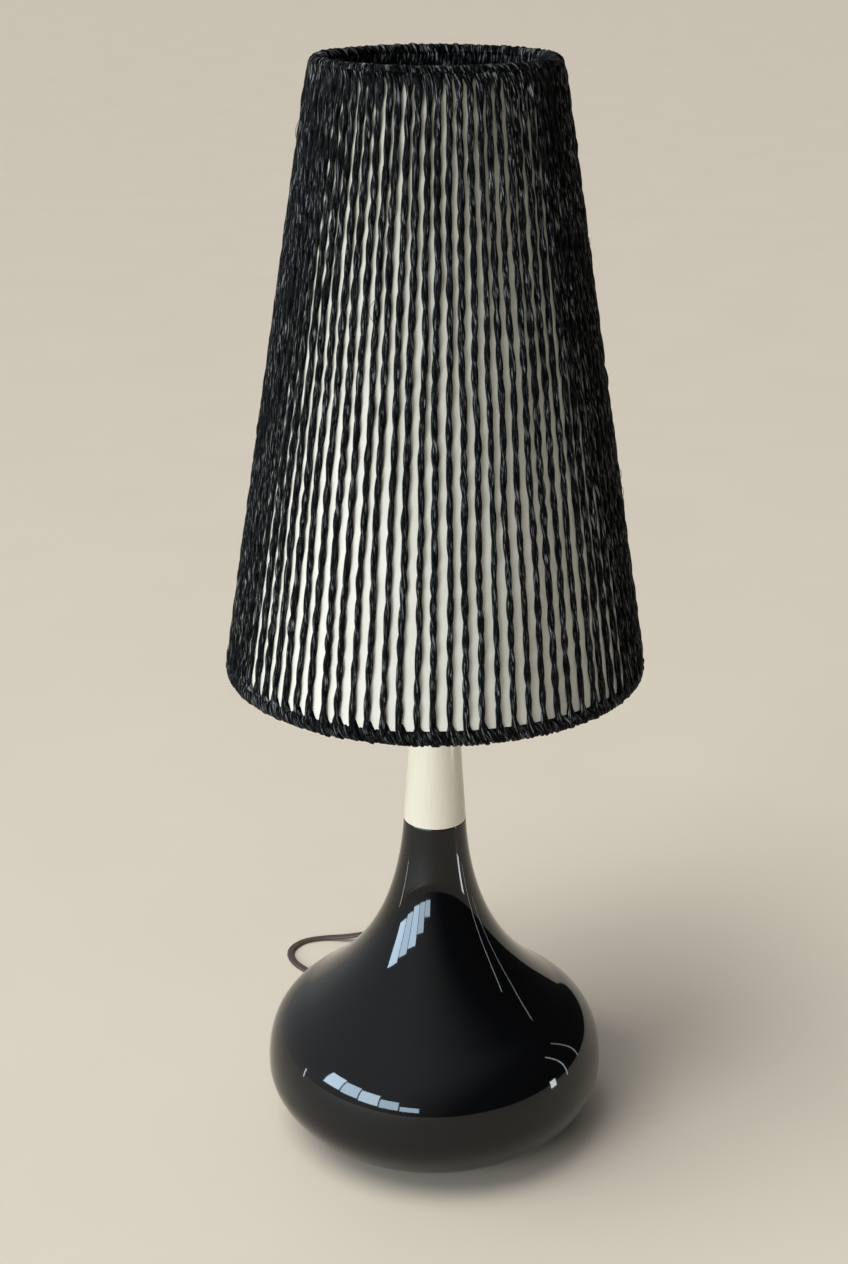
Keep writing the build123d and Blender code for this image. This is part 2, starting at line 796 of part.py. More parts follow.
def on_slant(along, out):
    """Radius and height of a point up the shade's side, out from the line between the wire rings."""
    _, step = slant()
    return (
        SHADE_BOTTOM_R + step.X * along + step.Y * out,
        SHADE_BOTTOM_Z + step.Y * along - step.X * out,
    )


def slant_rod(low, high, out, radius):
    """A rod up the shade's side in the plane of +X."""
    low_r, low_z = on_slant(low, out)
    high_r, high_z = on_slant(high, out)
    return rod((low_r, 0, low_z), (high_r, 0, high_z), radius)


def ring_tube(which, radius):
    """A round ring about the bottom or the top wire's centre line."""
    if which == "bottom":
        return Pos(0, 0, SHADE_BOTTOM_Z) * Torus(SHADE_BOTTOM_R, radius)
    return Pos(0, 0, SHADE_TOP_Z) * Torus(SHADE_TOP_R, radius)


def fitter_ring():
    """The flat ring of the shade that lies between the two shade rings."""
    return in_holder(ring(FITTER_R, FITTER_HOLE_R, fitter_low(), fitter_low() + FITTER_T))


def arm_rod():
    """One spoke from the fitter ring to the bottom wire ring, before its ends are trimmed."""
    height = holder_z() + fitter_low() + FITTER_T / 2
    return rod((FITTER_R - OVERSHOOT, 0, height), (SHADE_BOTTOM_R, 0, SHADE_BOTTOM_Z), ARM_R)


def arm_angle():
    """The first spoke stands midway between two strings."""
    return 90 + 180 / STRING_COUNT


def spider_arms():
    """The three spokes, welded at both ends."""
    arm = arm_rod() - fitter_ring() - ring_tube("bottom", RING_WIRE_R)
    return around(arm, ARM_COUNT, arm_angle())


def strut_rod():
    """One upright wire between the wire rings, before its ends are trimmed."""
    length, _ = slant()
    return slant_rod(0, length, 0, STRUT_R)


def shade_struts():
    """The upright wires that hold the rings apart against the pull of the strings."""
    strut = strut_rod() - ring_tube("bottom", RING_WIRE_R) - ring_tube("top", RING_WIRE_R)
    return around(strut, STRUT_COUNT)


def bottom_ring_wire():
    """The wire ring at the bottom of the shade."""
    return ring_tube("bottom", RING_WIRE_R)


def top_ring_wire():
    """The wire ring at the top of the shade."""
    return ring_tube("top", RING_WIRE_R)


def wound_stretches(radius, height, wires):
    """String wound round a wire ring, in stretches between the wires that are welded to it."""
    section = Plane.XZ * (Pos(radius, height) * (Circle(WRAP_R) - Circle(RING_WIRE_R)))
    stretches = []
    for (start, start_r), (end, end_r) in zip(wires, wires[1:] + [(wires[0][0] + 360, wires[0][1])]):
        first = start + math.degrees((start_r + GAP) / radius)
        last = end - math.degrees((end_r + GAP) / radius)
        stretches.append(Rot(0, 0, first) * revolve(section, Axis.Z, last - first))
    return group(*stretches)


def strut_places():
    """The uprights' angles and radius."""
    return [(turn * 360 / STRUT_COUNT, STRUT_R) for turn in range(STRUT_COUNT)]


def arm_places():
    """The spokes' angles and radius."""
    return [((arm_angle() + turn * 360 / ARM_COUNT) % 360, ARM_R) for turn in range(ARM_COUNT)]


def bottom_ring_wrap():
    """The string wound round the bottom ring."""
    return wound_stretches(SHADE_BOTTOM_R, SHADE_BOTTOM_Z, sorted(strut_places() + arm_places()))


def top_ring_wrap():
    """The string wound round the top ring."""
    return wound_stretches(SHADE_TOP_R, SHADE_TOP_Z, strut_places())


def string_lines(out):
    """The straight strings between the rings, at a distance out from the wires' line."""
    length, _ = slant()
    end = math.sqrt(WRAP_R**2 - RING_WIRE_R**2) + FIT
    return around(slant_rod(end, length - end, out, STRING_R), STRING_COUNT)


def outer_strings():
    """The strings that show outside, in front of the liner."""
    return string_lines(RING_WIRE_R + STRING_R)


def inner_strings():
    """The same strings on their way back, behind the liner."""
    return string_lines(-RING_WIRE_R - STRING_R)


def liner():
    """The thin pale cone between the outer and the inner strings."""
    length, _ = slant()
    edge = WRAP_R + LINER_GAP
    inside = STRUT_R + FIT
    return turned(
        on_slant(edge, inside),
        on_slant(edge, inside + LINER_T),
        on_slant(length - edge, inside + LINER_T),
        on_slant(length - edge, inside),
    )


# Coil, switch and plug on the lead


def cord_coil():
    """The outer shape of the wound-up length."""
    return Pos(COIL_AT[0], COIL_AT[1], 0) * ring(COIL_OUTER_R, COIL_INNER_R, 0, COIL_H)


def in_switch(solid):
    """Moves a piece that is drawn about the switch's middle to where the switch lies."""
    return Pos(SWITCH_AT[0], SWITCH_AT[1], 0) * solid


def switch_half(low, high):
    """A slab of the switch's rounded plan between two heights."""
    plan = RectangleRounded(SWITCH_LENGTH, SWITCH_WIDTH, SWITCH_END_R)
    return Pos(0, 0, low) * extrude(plan, high - low)


def switch_hollow(low, high):
    """The room inside the switch between two heights."""
    plan = RectangleRounded(
        SWITCH_LENGTH - 2 * SWITCH_WALL, SWITCH_WIDTH - 2 * SWITCH_WALL, SWITCH_END_R - SWITCH_WALL
    )
    return Pos(0, 0, low) * extrude(plan, high - low)


def switch_cord_way():
    """The bore for the lead at both ends of the switch."""
    return rod((-SWITCH_LENGTH, 0, SWITCH_H / 2), (SWITCH_LENGTH, 0, SWITCH_H / 2), CORD_R + FIT)


def switch_posts(low, high, radius):
    """Round posts at the two housing screws."""
    height = high - low
    return [Pos(side * SWITCH_SCREW_X, 0, low + height / 2) * Cylinder(radius, height) for side in (-1, 1)]


def switch_bottom():
    """The lower half of the switch's housing, with countersunk screw holes."""
    middle = SWITCH_H / 2
    shell = switch_half(0, middle)
    shell = fillet(shell.faces().sort_by(Axis.Z)[0].edges(), SWITCH_ROUND)
    shell -= switch_hollow(SWITCH_WALL, middle)
    for post in switch_posts(SWITCH_WALL, middle - CLEAR, BOSS_R):
        shell += post
    for hole in switch_posts(0, middle, SWITCH_SCREW_R + GAP):
        shell -= hole
    for pocket in switch_posts(0, SWITCH_SCREW_HEAD_T + CLEAR, SWITCH_SCREW_HEAD_R + GAP):
        shell -= pocket
    return in_switch(shell - switch_cord_way())


def switch_lugs():
    """The two lugs under the top that carry the rocker's pin."""
    side = SWITCH_WIDTH / 2 - SWITCH_WALL
    low = PIVOT_Z - LUG_HALF
    high = SWITCH_H - SWITCH_WALL
    return [
        block((-LUG_HALF, LUG_IN, low), (LUG_HALF, side, high)),
        block((-LUG_HALF, -side, low), (LUG_HALF, -LUG_IN, high)),
    ]


def switch_top():
    """The upper half of the switch's housing, with the rocker's window and the pin's lugs."""
    middle = SWITCH_H / 2
    shell = switch_half(middle, SWITCH_H)
    shell = fillet(shell.faces().sort_by(Axis.Z)[-1].edges(), SWITCH_ROUND)
    shell -= switch_hollow(middle, SWITCH_H - SWITCH_WALL)
    window = Pos(0, 0, SWITCH_H) * Box(
        ROCKER_LENGTH + 2 * WINDOW_GAP, ROCKER_WIDTH + WINDOW_GAP, 3 * SWITCH_WALL
    )
    shell -= window
    for lug in switch_lugs():
        shell += lug
    for post in switch_posts(middle + CLEAR, SWITCH_H - SWITCH_WALL, BOSS_R):
        shell += post
    for hole in switch_posts(middle, SWITCH_H - SWITCH_WALL, SWITCH_SCREW_R + FIT):
        shell -= hole
    pin_hole = Cylinder(PIVOT_R + FIT, SWITCH_WIDTH - 2 * SWITCH_WALL - CLEAR)
    shell -= Pos(0, 0, PIVOT_Z) * Rot(90, 0, 0) * pin_hole
    return in_switch(shell - switch_cord_way())


def tilted(solid):
    """Turns a piece that is drawn level about the rocker's pin to the off position."""
    return in_switch(Pos(0, 0, PIVOT_Z) * Rot(0, -ROCKER_TILT, 0) * solid)


def switch_rocker():
    """The rocker, a shallow valley between two raised ends, with a nub underneath."""
    half = ROCKER_LENGTH / 2
    top = SWITCH_H - PIVOT_Z
    outline = make_face(
        Polyline(
            (-half, ROCKER_SIDE_LOW),
            (-half + ROCKER_END_DRAFT, top),
            (0, top - ROCKER_VALLEY),
            (half - ROCKER_END_DRAFT, top),
            (half, ROCKER_SIDE_LOW),
            (half - ROCKER_UNDER_DRAFT, -ROCKER_UNDER),
            (ROCKER_NUB_HALF, -ROCKER_UNDER),
            (ROCKER_NUB_HALF, -ROCKER_NUB),
            (-ROCKER_NUB_HALF, -ROCKER_NUB),
            (-ROCKER_NUB_HALF, -ROCKER_UNDER),
            (-half + ROCKER_UNDER_DRAFT, -ROCKER_UNDER),
            close=True,
        )
    )
    body = extrude(Plane.XZ * outline, ROCKER_WIDTH / 2, both=True)
    body -= Rot(90, 0, 0) * Cylinder(PIVOT_R + FIT, 2 * ROCKER_WIDTH)
    return tilted(body)


def switch_pin():
    """The steel pin that the rocker turns on."""
    length = SWITCH_WIDTH - 2 * SWITCH_WALL - 2 * CLEAR
    return in_switch(Pos(0, 0, PIVOT_Z) * Rot(90, 0, 0) * Cylinder(PIVOT_R, length))


def switch_contact():
    """The brass bridge under one end of the rocker."""
    low = -ROCKER_UNDER - BRIDGE_T
    return tilted(block((BRIDGE_FROM_X, -BRIDGE_HALF_Y, low), (BRIDGE_TO_X, BRIDGE_HALF_Y, -ROCKER_UNDER)))


def terminal_top():
    """Height of the fixed contacts, just clear of the bridge when the switch is on."""
    turn = math.radians(ROCKER_TILT)
    return PIVOT_Z - (ROCKER_UNDER + BRIDGE_T) * math.cos(turn) - BRIDGE_TO_X * math.sin(turn) - CLEAR


def switch_terminals():
    """The two fixed brass contacts, each with its wire clamp."""
    blocks = []
    for side in (-1, 1):
        middle_y = side * (CONTACT_IN_Y + CONTACT_BLOCK_W / 2)
        low_y = middle_y - CONTACT_BLOCK_W / 2
        high_y = middle_y + CONTACT_BLOCK_W / 2
        nose = block((NOSE_FROM_X, low_y, SWITCH_WALL), (NOSE_TO_X, high_y, terminal_top()))
        clamp = block((NOSE_TO_X, low_y, SWITCH_WALL), (CLAMP_TO_X, high_y, CLAMP_H))
        hole = Pos(CLAMP_SCREW_X, middle_y, CLAMP_H) * Cylinder(CLAMP_SCREW_R + FIT, 2 * CLAMP_HOLE_DEPTH)
        blocks.append(in_switch(nose + clamp - hole))
    return group(*blocks)


def switch_terminal_screws():
    """The small screws of the fixed contacts."""
    screws = []
    for side in (-1, 1):
        place = Pos(CLAMP_SCREW_X, side * (CONTACT_IN_Y + CONTACT_BLOCK_W / 2), CLAMP_H)
        head = Pos(0, 0, CLAMP_HEAD_T / 2) * Cylinder(CLAMP_HEAD_R, CLAMP_HEAD_T)
        shank = Pos(0, 0, -CLAMP_SHANK / 2) * Cylinder(CLAMP_SCREW_R, CLAMP_SHANK)
        slot = Pos(0, 0, CLAMP_HEAD_T) * Box(3 * CLAMP_HEAD_R, CLAMP_SLOT_W, 2 * CLAMP_SLOT_DEPTH)
        screws.append(in_switch(place * (head + shank - slot)))
    return group(*screws)


def switch_spring():
    """The leaf spring whose bent end lies under the rocker's nub."""
    turn = math.radians(ROCKER_TILT)
    crest = PIVOT_Z - ROCKER_NUB * math.cos(turn) - ROCKER_NUB_HALF * math.sin(turn) - CLEAR
    outline = make_face(
        Polyline(
            (SPRING_FOOT_X, SWITCH_WALL),
            (SPRING_BEND_X, SWITCH_WALL),
            (SPRING_CREST_X, crest - SPRING_T),
            (SPRING_TIP_X, crest - SPRING_DROP - SPRING_T),
            (SPRING_TIP_X, crest - SPRING_DROP),
            (SPRING_CREST_X, crest),
            (SPRING_BEND_X - SPRING_T / 2, SWITCH_WALL + SPRING_T),
            (SPRING_FOOT_X, SWITCH_WALL + SPRING_T),
            close=True,
        )
    )
    return in_switch(extrude(Plane.XZ * outline, SPRING_HALF_W, both=True))


def switch_wires():
    """The wires inside the switch: one runs through, the other is cut and clamped at both contacts.
    Their bends are chosen by hand, as distances from the screws and the clamps."""
    end_x = SWITCH_LENGTH / 2
    bore_x = end_x - SWITCH_WIRE_STRAIGHT
    middle = SWITCH_H / 2
    low = SWITCH_WALL + LEAD_R + SWITCH_WIRE_LIFT
    through = [
        (-end_x, WIRE_OFFSET, middle),
        (-bore_x, WIRE_OFFSET, middle),
        (-SWITCH_SCREW_X - 2, SWITCH_WIRE_Y, middle),
        (-SWITCH_SCREW_X + 4, SWITCH_WIRE_Y, low + 2),
        (SWITCH_SCREW_X - 4, SWITCH_WIRE_Y, low + 2),
        (SWITCH_SCREW_X + 2, SWITCH_WIRE_Y, middle),
        (bore_x, WIRE_OFFSET, middle),
        (end_x, WIRE_OFFSET, middle),
    ]
    left = [
        (-end_x, -WIRE_OFFSET, middle),
        (-bore_x, -WIRE_OFFSET, middle),
        (-SWITCH_SCREW_X - 2, -SWITCH_WIRE_Y, middle),
        (-SWITCH_SCREW_X + 4, -SWITCH_WIRE_Y, low + 2),
        (NOSE_TO_X - 1.6, -SWITCH_WIRE_Y, low),
        (CLAMP_SCREW_X - 1, -CONTACT_IN_Y - CONTACT_BLOCK_W - LEAD_R, low),
    ]
    right = [
        (end_x, -WIRE_OFFSET, middle),
        (bore_x, -WIRE_OFFSET, middle),
        (SWITCH_SCREW_X + 1, -6.2, middle),
        (SWITCH_SCREW_X - 2, -5.6, low + 1),
        (CLAMP_TO_X + LEAD_R, -2.8, low),
    ]
    wires = [FilletPolyline(*route, radius=SWITCH_WIRE_BEND_R) for route in (through, left, right)]
    return group(*[in_switch(tube_along(wire, LEAD_R)) for wire in wires])


def switch_screws():
    """The two screws that close the switch."""
    screws = []
    for side in (-1, 1):
        place = Pos(side * SWITCH_SCREW_X, 0, 0)
        head = Pos(0, 0, CLEAR + SWITCH_SCREW_HEAD_T / 2) * Cylinder(SWITCH_SCREW_HEAD_R, SWITCH_SCREW_HEAD_T)
        length = SWITCH_H - SWITCH_WALL - 2 * CLEAR - SWITCH_SCREW_HEAD_T
        shank = Pos(0, 0, CLEAR + SWITCH_SCREW_HEAD_T + length / 2) * Cylinder(SWITCH_SCREW_R, length)
        slot = Pos(0, 0, CLEAR) * Box(2 * SWITCH_SCREW_HEAD_R, SCREW_SLOT_W, 2 * SCREW_SLOT_DEPTH)
        screws.append(in_switch(place * (head + shank - slot)))
    return group(*screws)


def in_plug(solid):
    """Moves a piece that is drawn with the lead entering at the origin along +X to where the plug lies."""
    return Pos(PLUG_AT[0], PLUG_AT[1], 0) * Rot(0, 0, -90) * solid


def plug_slab(low, high):
    """A slab of the plug's plan, which widens from the sleeve to the pins."""
    start = PLUG_SLEEVE
    end = PLUG_SLEEVE + PLUG_LENGTH
    back = PLUG_BACK_WIDTH / 2
    half = PLUG_WIDTH / 2
    plan = make_face(
        Polyline(
            (start, -back),
            (start + PLUG_LENGTH / 2, -half),
            (end, -half),
            (end, half),
            (start + PLUG_LENGTH / 2, half),
            (start, back),
            close=True,
        )
    )
    plan = fillet(plan.vertices(), PLUG_ROUND)
    return Pos(0, 0, low) * extrude(plan, high - low)


def plug_pin_shapes(grow):
    """The two pins on their thinner shanks, drawn in the plug's own frame and grown by a clearance."""
    face = PLUG_SLEEVE + PLUG_LENGTH
    middle = PLUG_H / 2
    pins = []
    for side in (-1, 1):
        across = side * PIN_SPACING / 2
        shank = rod((face - PIN_IN_PLUG, across, middle), (face, across, middle), PIN_SHANK_R + grow)
        free_end = rod((face, across, middle), (face + PIN_LENGTH, across, middle), PIN_R + grow)
        pins.append(shank + free_end)
    return pins


def plug_sleeve_bore():
    """The way of the lead through the sleeve into the plug."""
    start = (-OVERSHOOT, 0, PLUG_H / 2)
    return rod(start, (PLUG_SLEEVE + PLUG_BORE_DEPTH, 0, PLUG_H / 2), CORD_R + FIT)


def plug_half(low, high, outer_face):
    """One half of the plug's housing."""
    shell = plug_slab(low, high)
    shell = fillet(shell.faces().sort_by(Axis.Z)[outer_face].edges(), PLUG_ROUND / 2)
    for pin in plug_pin_shapes(FIT):
        shell -= pin
    shell -= Pos(PLUG_SLEEVE + PLUG_LENGTH / 2, 0, PLUG_H / 2) * Cylinder(PLUG_SCREW_R + FIT, 2 * PLUG_H)
    return shell - plug_sleeve_bore()


def plug_bottom():
    """The lower half of the plug, with a pocket for the screw's head."""
    shell = plug_half(0, PLUG_H / 2, 0)
    pocket = Pos(PLUG_SLEEVE + PLUG_LENGTH / 2, 0, 0) * Cylinder(
        PLUG_SCREW_HEAD_R + GAP, 2 * (PLUG_SCREW_HEAD_T + CLEAR)
    )
    return in_plug(shell - pocket)


def plug_top():
    """The upper half of the plug."""
    return in_plug(plug_half(PLUG_H / 2, PLUG_H, -1))


def plug_screw():
    """The screw that closes the plug."""
    length = PLUG_H - PLUG_SCREW_HEAD_T - 2 * CLEAR
    head = Pos(0, 0, CLEAR + PLUG_SCREW_HEAD_T / 2) * Cylinder(PLUG_SCREW_HEAD_R, PLUG_SCREW_HEAD_T)
    shank = Pos(0, 0, CLEAR + PLUG_SCREW_HEAD_T + length / 2) * Cylinder(PLUG_SCREW_R, length)
    slot = Pos(0, 0, CLEAR) * Box(2 * PLUG_SCREW_HEAD_R, SCREW_SLOT_W, 2 * SCREW_SLOT_DEPTH)
    return in_plug(Pos(PLUG_SLEEVE + PLUG_LENGTH / 2, 0, 0) * (head + shank - slot))


def plug_pins():
    """The two round pins with rounded tips."""
    pins = []
    for pin in plug_pin_shapes(0):
        tip = pin.edges().sort_by(Axis.X)[-1]
        pins.append(in_plug(fillet(tip, PIN_R / 2)))
    return group(*pins)


def plug_sleeve():
    """The tapered rubber sleeve on the lead at the plug."""
    taper = Pos(0, 0, PLUG_H / 2) * Rot(0, 90, 0) * Cone(
        RELIEF_TIP_R, RELIEF_SHOULDER_R, PLUG_SLEEVE, align=(Align.CENTER, Align.CENTER, Align.MIN)
    )
    return in_plug(taper - plug_sleeve_bore())


NODES = {
    "base_body": base_body,
    "felt_pad": felt_pad,
    "base_plate": base_plate,
    "plate_washer": plate_washer,
    "plate_nut": plate_nut,
    "threaded_tube": threaded_tube,
    "cord_relief": cord_relief,
    "cord_stop": cord_stop,
    "inner_cord": inner_cord,
    "neck_seat": neck_seat,
    "neck_sleeve": neck_sleeve,
    "neck_cap": neck_cap,
    "holder_cap": holder_cap,
    "holder_body": holder_body,
    "holder_insert": holder_insert,
    "terminal_screws": terminal_screws,
    "screw_shell": screw_shell,
    "centre_contact": centre_contact,
    "brown_wire": lambda: holder_wire(-1),
    "blue_wire": lambda: holder_wire(1),
    "lower_shade_ring": lower_shade_ring,
    "upper_shade_ring": upper_shade_ring,
    "bulb_contact": bulb_contact,
    "bulb_insulator": bulb_insulator,
    "bulb_cap": bulb_cap,
    "bulb_glass": bulb_glass,
    "bulb_stem": bulb_stem,
    "bulb_filament": bulb_filament,
    "fitter_ring": fitter_ring,
    "spider_arms": spider_arms,
    "shade_struts": shade_struts,
    "bottom_ring_wire": bottom_ring_wire,
    "top_ring_wire": top_ring_wire,
    "bottom_ring_wrap": bottom_ring_wrap,
    "top_ring_wrap": top_ring_wrap,
    "outer_strings": outer_strings,
    "inner_strings": inner_strings,
    "liner": liner,
    "lamp_lead": lambda: lead_tube("lamp_lead", LAMP_LEAD_ROUTE),
    "switch_lead": lambda: lead_tube("switch_lead", SWITCH_LEAD_ROUTE),
    "plug_lead": lambda: lead_tube("plug_lead", PLUG_LEAD_ROUTE),
    "cord_coil": cord_coil,
    "switch_bottom": switch_bottom,
    "switch_top": switch_top,
    "switch_rocker": switch_rocker,
    "switch_pin": switch_pin,
    "switch_contact": switch_contact,
    "switch_terminals": switch_terminals,
    "switch_terminal_screws": switch_terminal_screws,
    "switch_spring": switch_spring,
    "switch_wires": switch_wires,
    "switch_screws": switch_screws,
    "plug_bottom": plug_bottom,
    "plug_top": plug_top,
    "plug_screw": plug_screw,
    "plug_pins": plug_pins,
    "plug_sleeve": plug_sleeve,
}

os.makedirs("parts", exist_ok=True)
for node, make in NODES.items():
    export_step(make(), f"parts/{node}.step")
print(len(NODES), "nodes written")
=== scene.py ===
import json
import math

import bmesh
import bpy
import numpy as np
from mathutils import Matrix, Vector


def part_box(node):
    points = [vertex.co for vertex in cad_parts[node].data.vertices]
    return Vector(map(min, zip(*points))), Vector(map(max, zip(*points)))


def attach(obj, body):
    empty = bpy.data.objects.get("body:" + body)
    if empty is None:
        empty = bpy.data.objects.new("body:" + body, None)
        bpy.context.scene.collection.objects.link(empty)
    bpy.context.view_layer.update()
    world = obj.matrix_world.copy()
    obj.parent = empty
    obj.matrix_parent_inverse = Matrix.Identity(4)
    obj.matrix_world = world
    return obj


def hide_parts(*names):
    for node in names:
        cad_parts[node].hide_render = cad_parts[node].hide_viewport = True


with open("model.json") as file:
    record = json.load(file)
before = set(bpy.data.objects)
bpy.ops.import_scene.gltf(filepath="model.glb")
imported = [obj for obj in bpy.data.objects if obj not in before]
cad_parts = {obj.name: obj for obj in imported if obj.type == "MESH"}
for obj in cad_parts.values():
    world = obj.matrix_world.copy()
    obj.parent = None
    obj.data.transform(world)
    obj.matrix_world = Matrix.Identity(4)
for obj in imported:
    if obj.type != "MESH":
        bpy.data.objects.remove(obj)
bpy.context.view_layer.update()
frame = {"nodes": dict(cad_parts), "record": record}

# %% [markdown]
# # A table lamp with a string-wound shade
# The lamp has three things to look at: an onion-shaped base under a deep black glaze, a short cream neck,
# and a tall cone of twisted black string over a pale liner. The engineer's model brings the right sizes and
# places. This lesson gives every piece its surface. All lengths are in metres, +Z is up, and the lamp stands
# at the origin with its back towards +Y.

MM = 0.001
random = np.random.default_rng(7)

# %% [markdown]
# ## The camera
# The photograph looks down on the lamp from a little over a metre away. The place, the pitch and the lens
# come from fitting a camera to the outline of the base, the neck and the shade, so the picture has the same
# perspective as the photograph.

# %% Camera
CAMERA_PLACE = (0.0, -1.1392, 0.7582)
CAMERA_PITCH = 20.59  # degrees below the level
CAMERA_YAW = 0.33  # degrees to the left
LENS = 58.7
SENSOR = 36.0


def make_camera():
    """A camera at the photograph's place, its sensor's long side along the picture's height."""
    data = bpy.data.cameras.new("photo_camera")
    data.lens = LENS
    data.sensor_width = SENSOR
    data.clip_start = 0.05
    camera = bpy.data.objects.new("photo_camera", data)
    camera.location = CAMERA_PLACE
    camera.rotation_euler = (math.radians(90 - CAMERA_PITCH), 0, math.radians(CAMERA_YAW))
    bpy.context.scene.collection.objects.link(camera)
    bpy.context.scene.camera = camera
    return camera


camera = make_camera()
print("camera at", tuple(round(value, 3) for value in camera.location))

# %% [markdown]
# ## Skins over grids
# Nearly every shape here is a grid of points: rows that follow a profile or a path, and columns that go
# round. It could be modelled by hand with the mouse, but a formula gives the same lamp each time. One
# function lays quads between neighbouring points, closes the columns on themselves, and either closes the
# rows too, as on a hollow wall, or closes both ends with a fan of triangles.

# %% From grids to meshes


def full_turn(count):
    """Angles evenly spaced round a full turn, its end left out."""
    return np.linspace(0, 2 * math.pi, count, endpoint=False)


def unit(vectors):
    """Vectors of length one."""
    return vectors / np.linalg.norm(vectors, axis=-1, keepdims=True)


def grid_corners(rows, columns, closed_rows):
    """Vertex numbers of each quad's corners and their row and column steps, on one grid."""
    row = np.arange(rows if closed_rows else rows - 1)[:, None]
    column = np.arange(columns)[None, :]
    down = (row + 1) % rows
    right = (column + 1) % columns
    here, below = row * columns, down * columns
    quads = np.stack([here + column, here + right, below + right, below + column], axis=-1)
    row_steps = np.broadcast_to(np.stack([row, row, row + 1, row + 1], axis=-1), quads.shape)
    column_steps = np.broadcast_to(np.stack([column, column + 1, column + 1, column], axis=-1), quads.shape)
    return quads.reshape(-1, 4), row_steps.reshape(-1, 4), column_steps.reshape(-1, 4)


def skin(name, grids, closed_rows=False, lengths=None, sharp=None):
    """A mesh over grids of points, shape (copies, rows, columns, 3). Columns close on themselves. The rows
    close too, or each end gets a fan about its middle. lengths, shape (copies, rows), is the way along
    the rows and goes into the UV map with the share of the way round. Without it, the way comes from each
    row's mean and first point. sharp is the angle in degrees above which an edge stays sharp."""
    grids = np.asarray(grids, float)
    copies, rows, columns, _ = grids.shape
    quads, row_steps, column_steps = grid_corners(rows, columns, closed_rows)
    first = np.arange(copies)[:, None, None] * rows * columns
    quad_faces = (quads[None] + first).reshape(-1, 4)
    points = [grids.reshape(-1, 3)]
    fans = np.empty((0, 3), int)
    if not closed_rows:
        count = copies * rows * columns
        points.append(grids[:, [0, -1]].mean(axis=2).reshape(-1, 3))
        middle = count + np.arange(copies * 2).reshape(copies, 2, 1)
        here = np.arange(columns)
        after = (here + 1) % columns
        start = np.arange(copies)[:, None] * rows * columns
        end = start + (rows - 1) * columns
        low_middle, high_middle = (np.broadcast_to(middle[:, index], (copies, columns)) for index in (0, 1))
        low = np.stack([low_middle, start + after, start + here], axis=-1)
        high = np.stack([high_middle, end + here, end + after], axis=-1)
        fans = np.concatenate([low, high]).reshape(-1, 3)
    mesh = bpy.data.meshes.new(name)
    points = np.concatenate(points)
    mesh.vertices.add(len(points))
    mesh.vertices.foreach_set("co", points.astype(np.float32).ravel())
    corners = np.concatenate([quad_faces.ravel(), fans.ravel()])
    mesh.loops.add(len(corners))
    mesh.loops.foreach_set("vertex_index", corners.astype(np.int32))
    starts = np.concatenate([np.arange(len(quad_faces)) * 4, len(quad_faces) * 4 + np.arange(len(fans)) * 3])
    mesh.polygons.add(len(starts))
    mesh.polygons.foreach_set("loop_start", starts.astype(np.int32))
    mesh.update(calc_edges=True)
    mesh.polygons.foreach_set("use_smooth", np.ones(len(starts), bool))
    if lengths is None:
        steps = np.linalg.norm(np.diff(grids.mean(axis=2) + grids[:, :, 0] * 0.5, axis=1), axis=-1)
        lengths = np.concatenate([np.zeros((copies, 1)), np.cumsum(steps, axis=1)], axis=1)
    along = np.concatenate([lengths, lengths[:, -1:]], axis=1)
    uv = np.zeros((len(corners), 2), np.float32)
    share_round = np.broadcast_to(column_steps / columns, (copies, *column_steps.shape))
    uv[: quad_faces.size] = np.stack([share_round, along[:, row_steps]], axis=-1).reshape(-1, 2)
    mesh.uv_layers.new(name="UVMap").data.foreach_set("uv", uv.ravel())
    if sharp is not None:
        mesh.set_sharp_from_angle(angle=math.radians(sharp))
    piece = bpy.data.objects.new(name, mesh)
    bpy.context.scene.collection.objects.link(piece)
    return piece


def rounded(corners, radius, steps=4):
    """A profile with each inner corner replaced by a quadratic curve that starts a radius before it, or at
    0.45 of the side where that is shorter. A point is (1 - s)^2 start + 2 s (1 - s) corner + s^2 end."""
    corners = np.asarray(corners, float)
    share = np.linspace(0, 1, steps + 1)[:, None]
    made = [corners[:1]]
    for before, corner, after in zip(corners, corners[1:], corners[2:]):
        back, on = before - corner, after - corner
        reach = min(radius, 0.45 * np.linalg.norm(back), 0.45 * np.linalg.norm(on))
        start = corner + back / np.linalg.norm(back) * reach
        end = corner + on / np.linalg.norm(on) * reach
        made.append((1 - share) ** 2 * start + 2 * share * (1 - share) * corner + share**2 * end)
    return np.concatenate([*made, corners[-1:]])


def round_the_axis(radius, height, angle):
    """Points from a radius, a height and an angle about the lamp's axis."""
    radius, height, angle = np.broadcast_arrays(radius, height, angle)
    return np.stack([radius * np.cos(angle), radius * np.sin(angle), height], axis=-1)


def turned(name, profile, columns=128, closed=False, wobble=0.0, sharp=35.0):
    """A surface turned about the lamp's axis. The profile gives radius and height, outside upwards. Wobble
    moves each point in and out by a sum of three slow sine waves of the angle and the height, as a hand-made
    piece has."""
    profile = np.asarray(profile, float)
    angle = full_turn(columns)
    radius, height = profile[:, :1], profile[:, 1:]
    wave = np.sin(2 * angle + 31 * height) + 0.6 * np.sin(5 * angle - 47 * height) + 0.4 * np.sin(83 * height)
    grid = round_the_axis(radius + wobble * wave, height, angle)
    return skin(name, grid[None], closed_rows=closed, sharp=sharp)


FINISHES = {}


def finished(piece, body, slot, *replaced):
    """The piece gets the finish named like its slot, rides on its body and stands for the model's nodes."""
    piece.data.materials.clear()
    piece.data.materials.append(FINISHES[slot])
    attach(piece, body)
    if replaced:
        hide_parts(*replaced)
    return piece


print("grid tools ready")

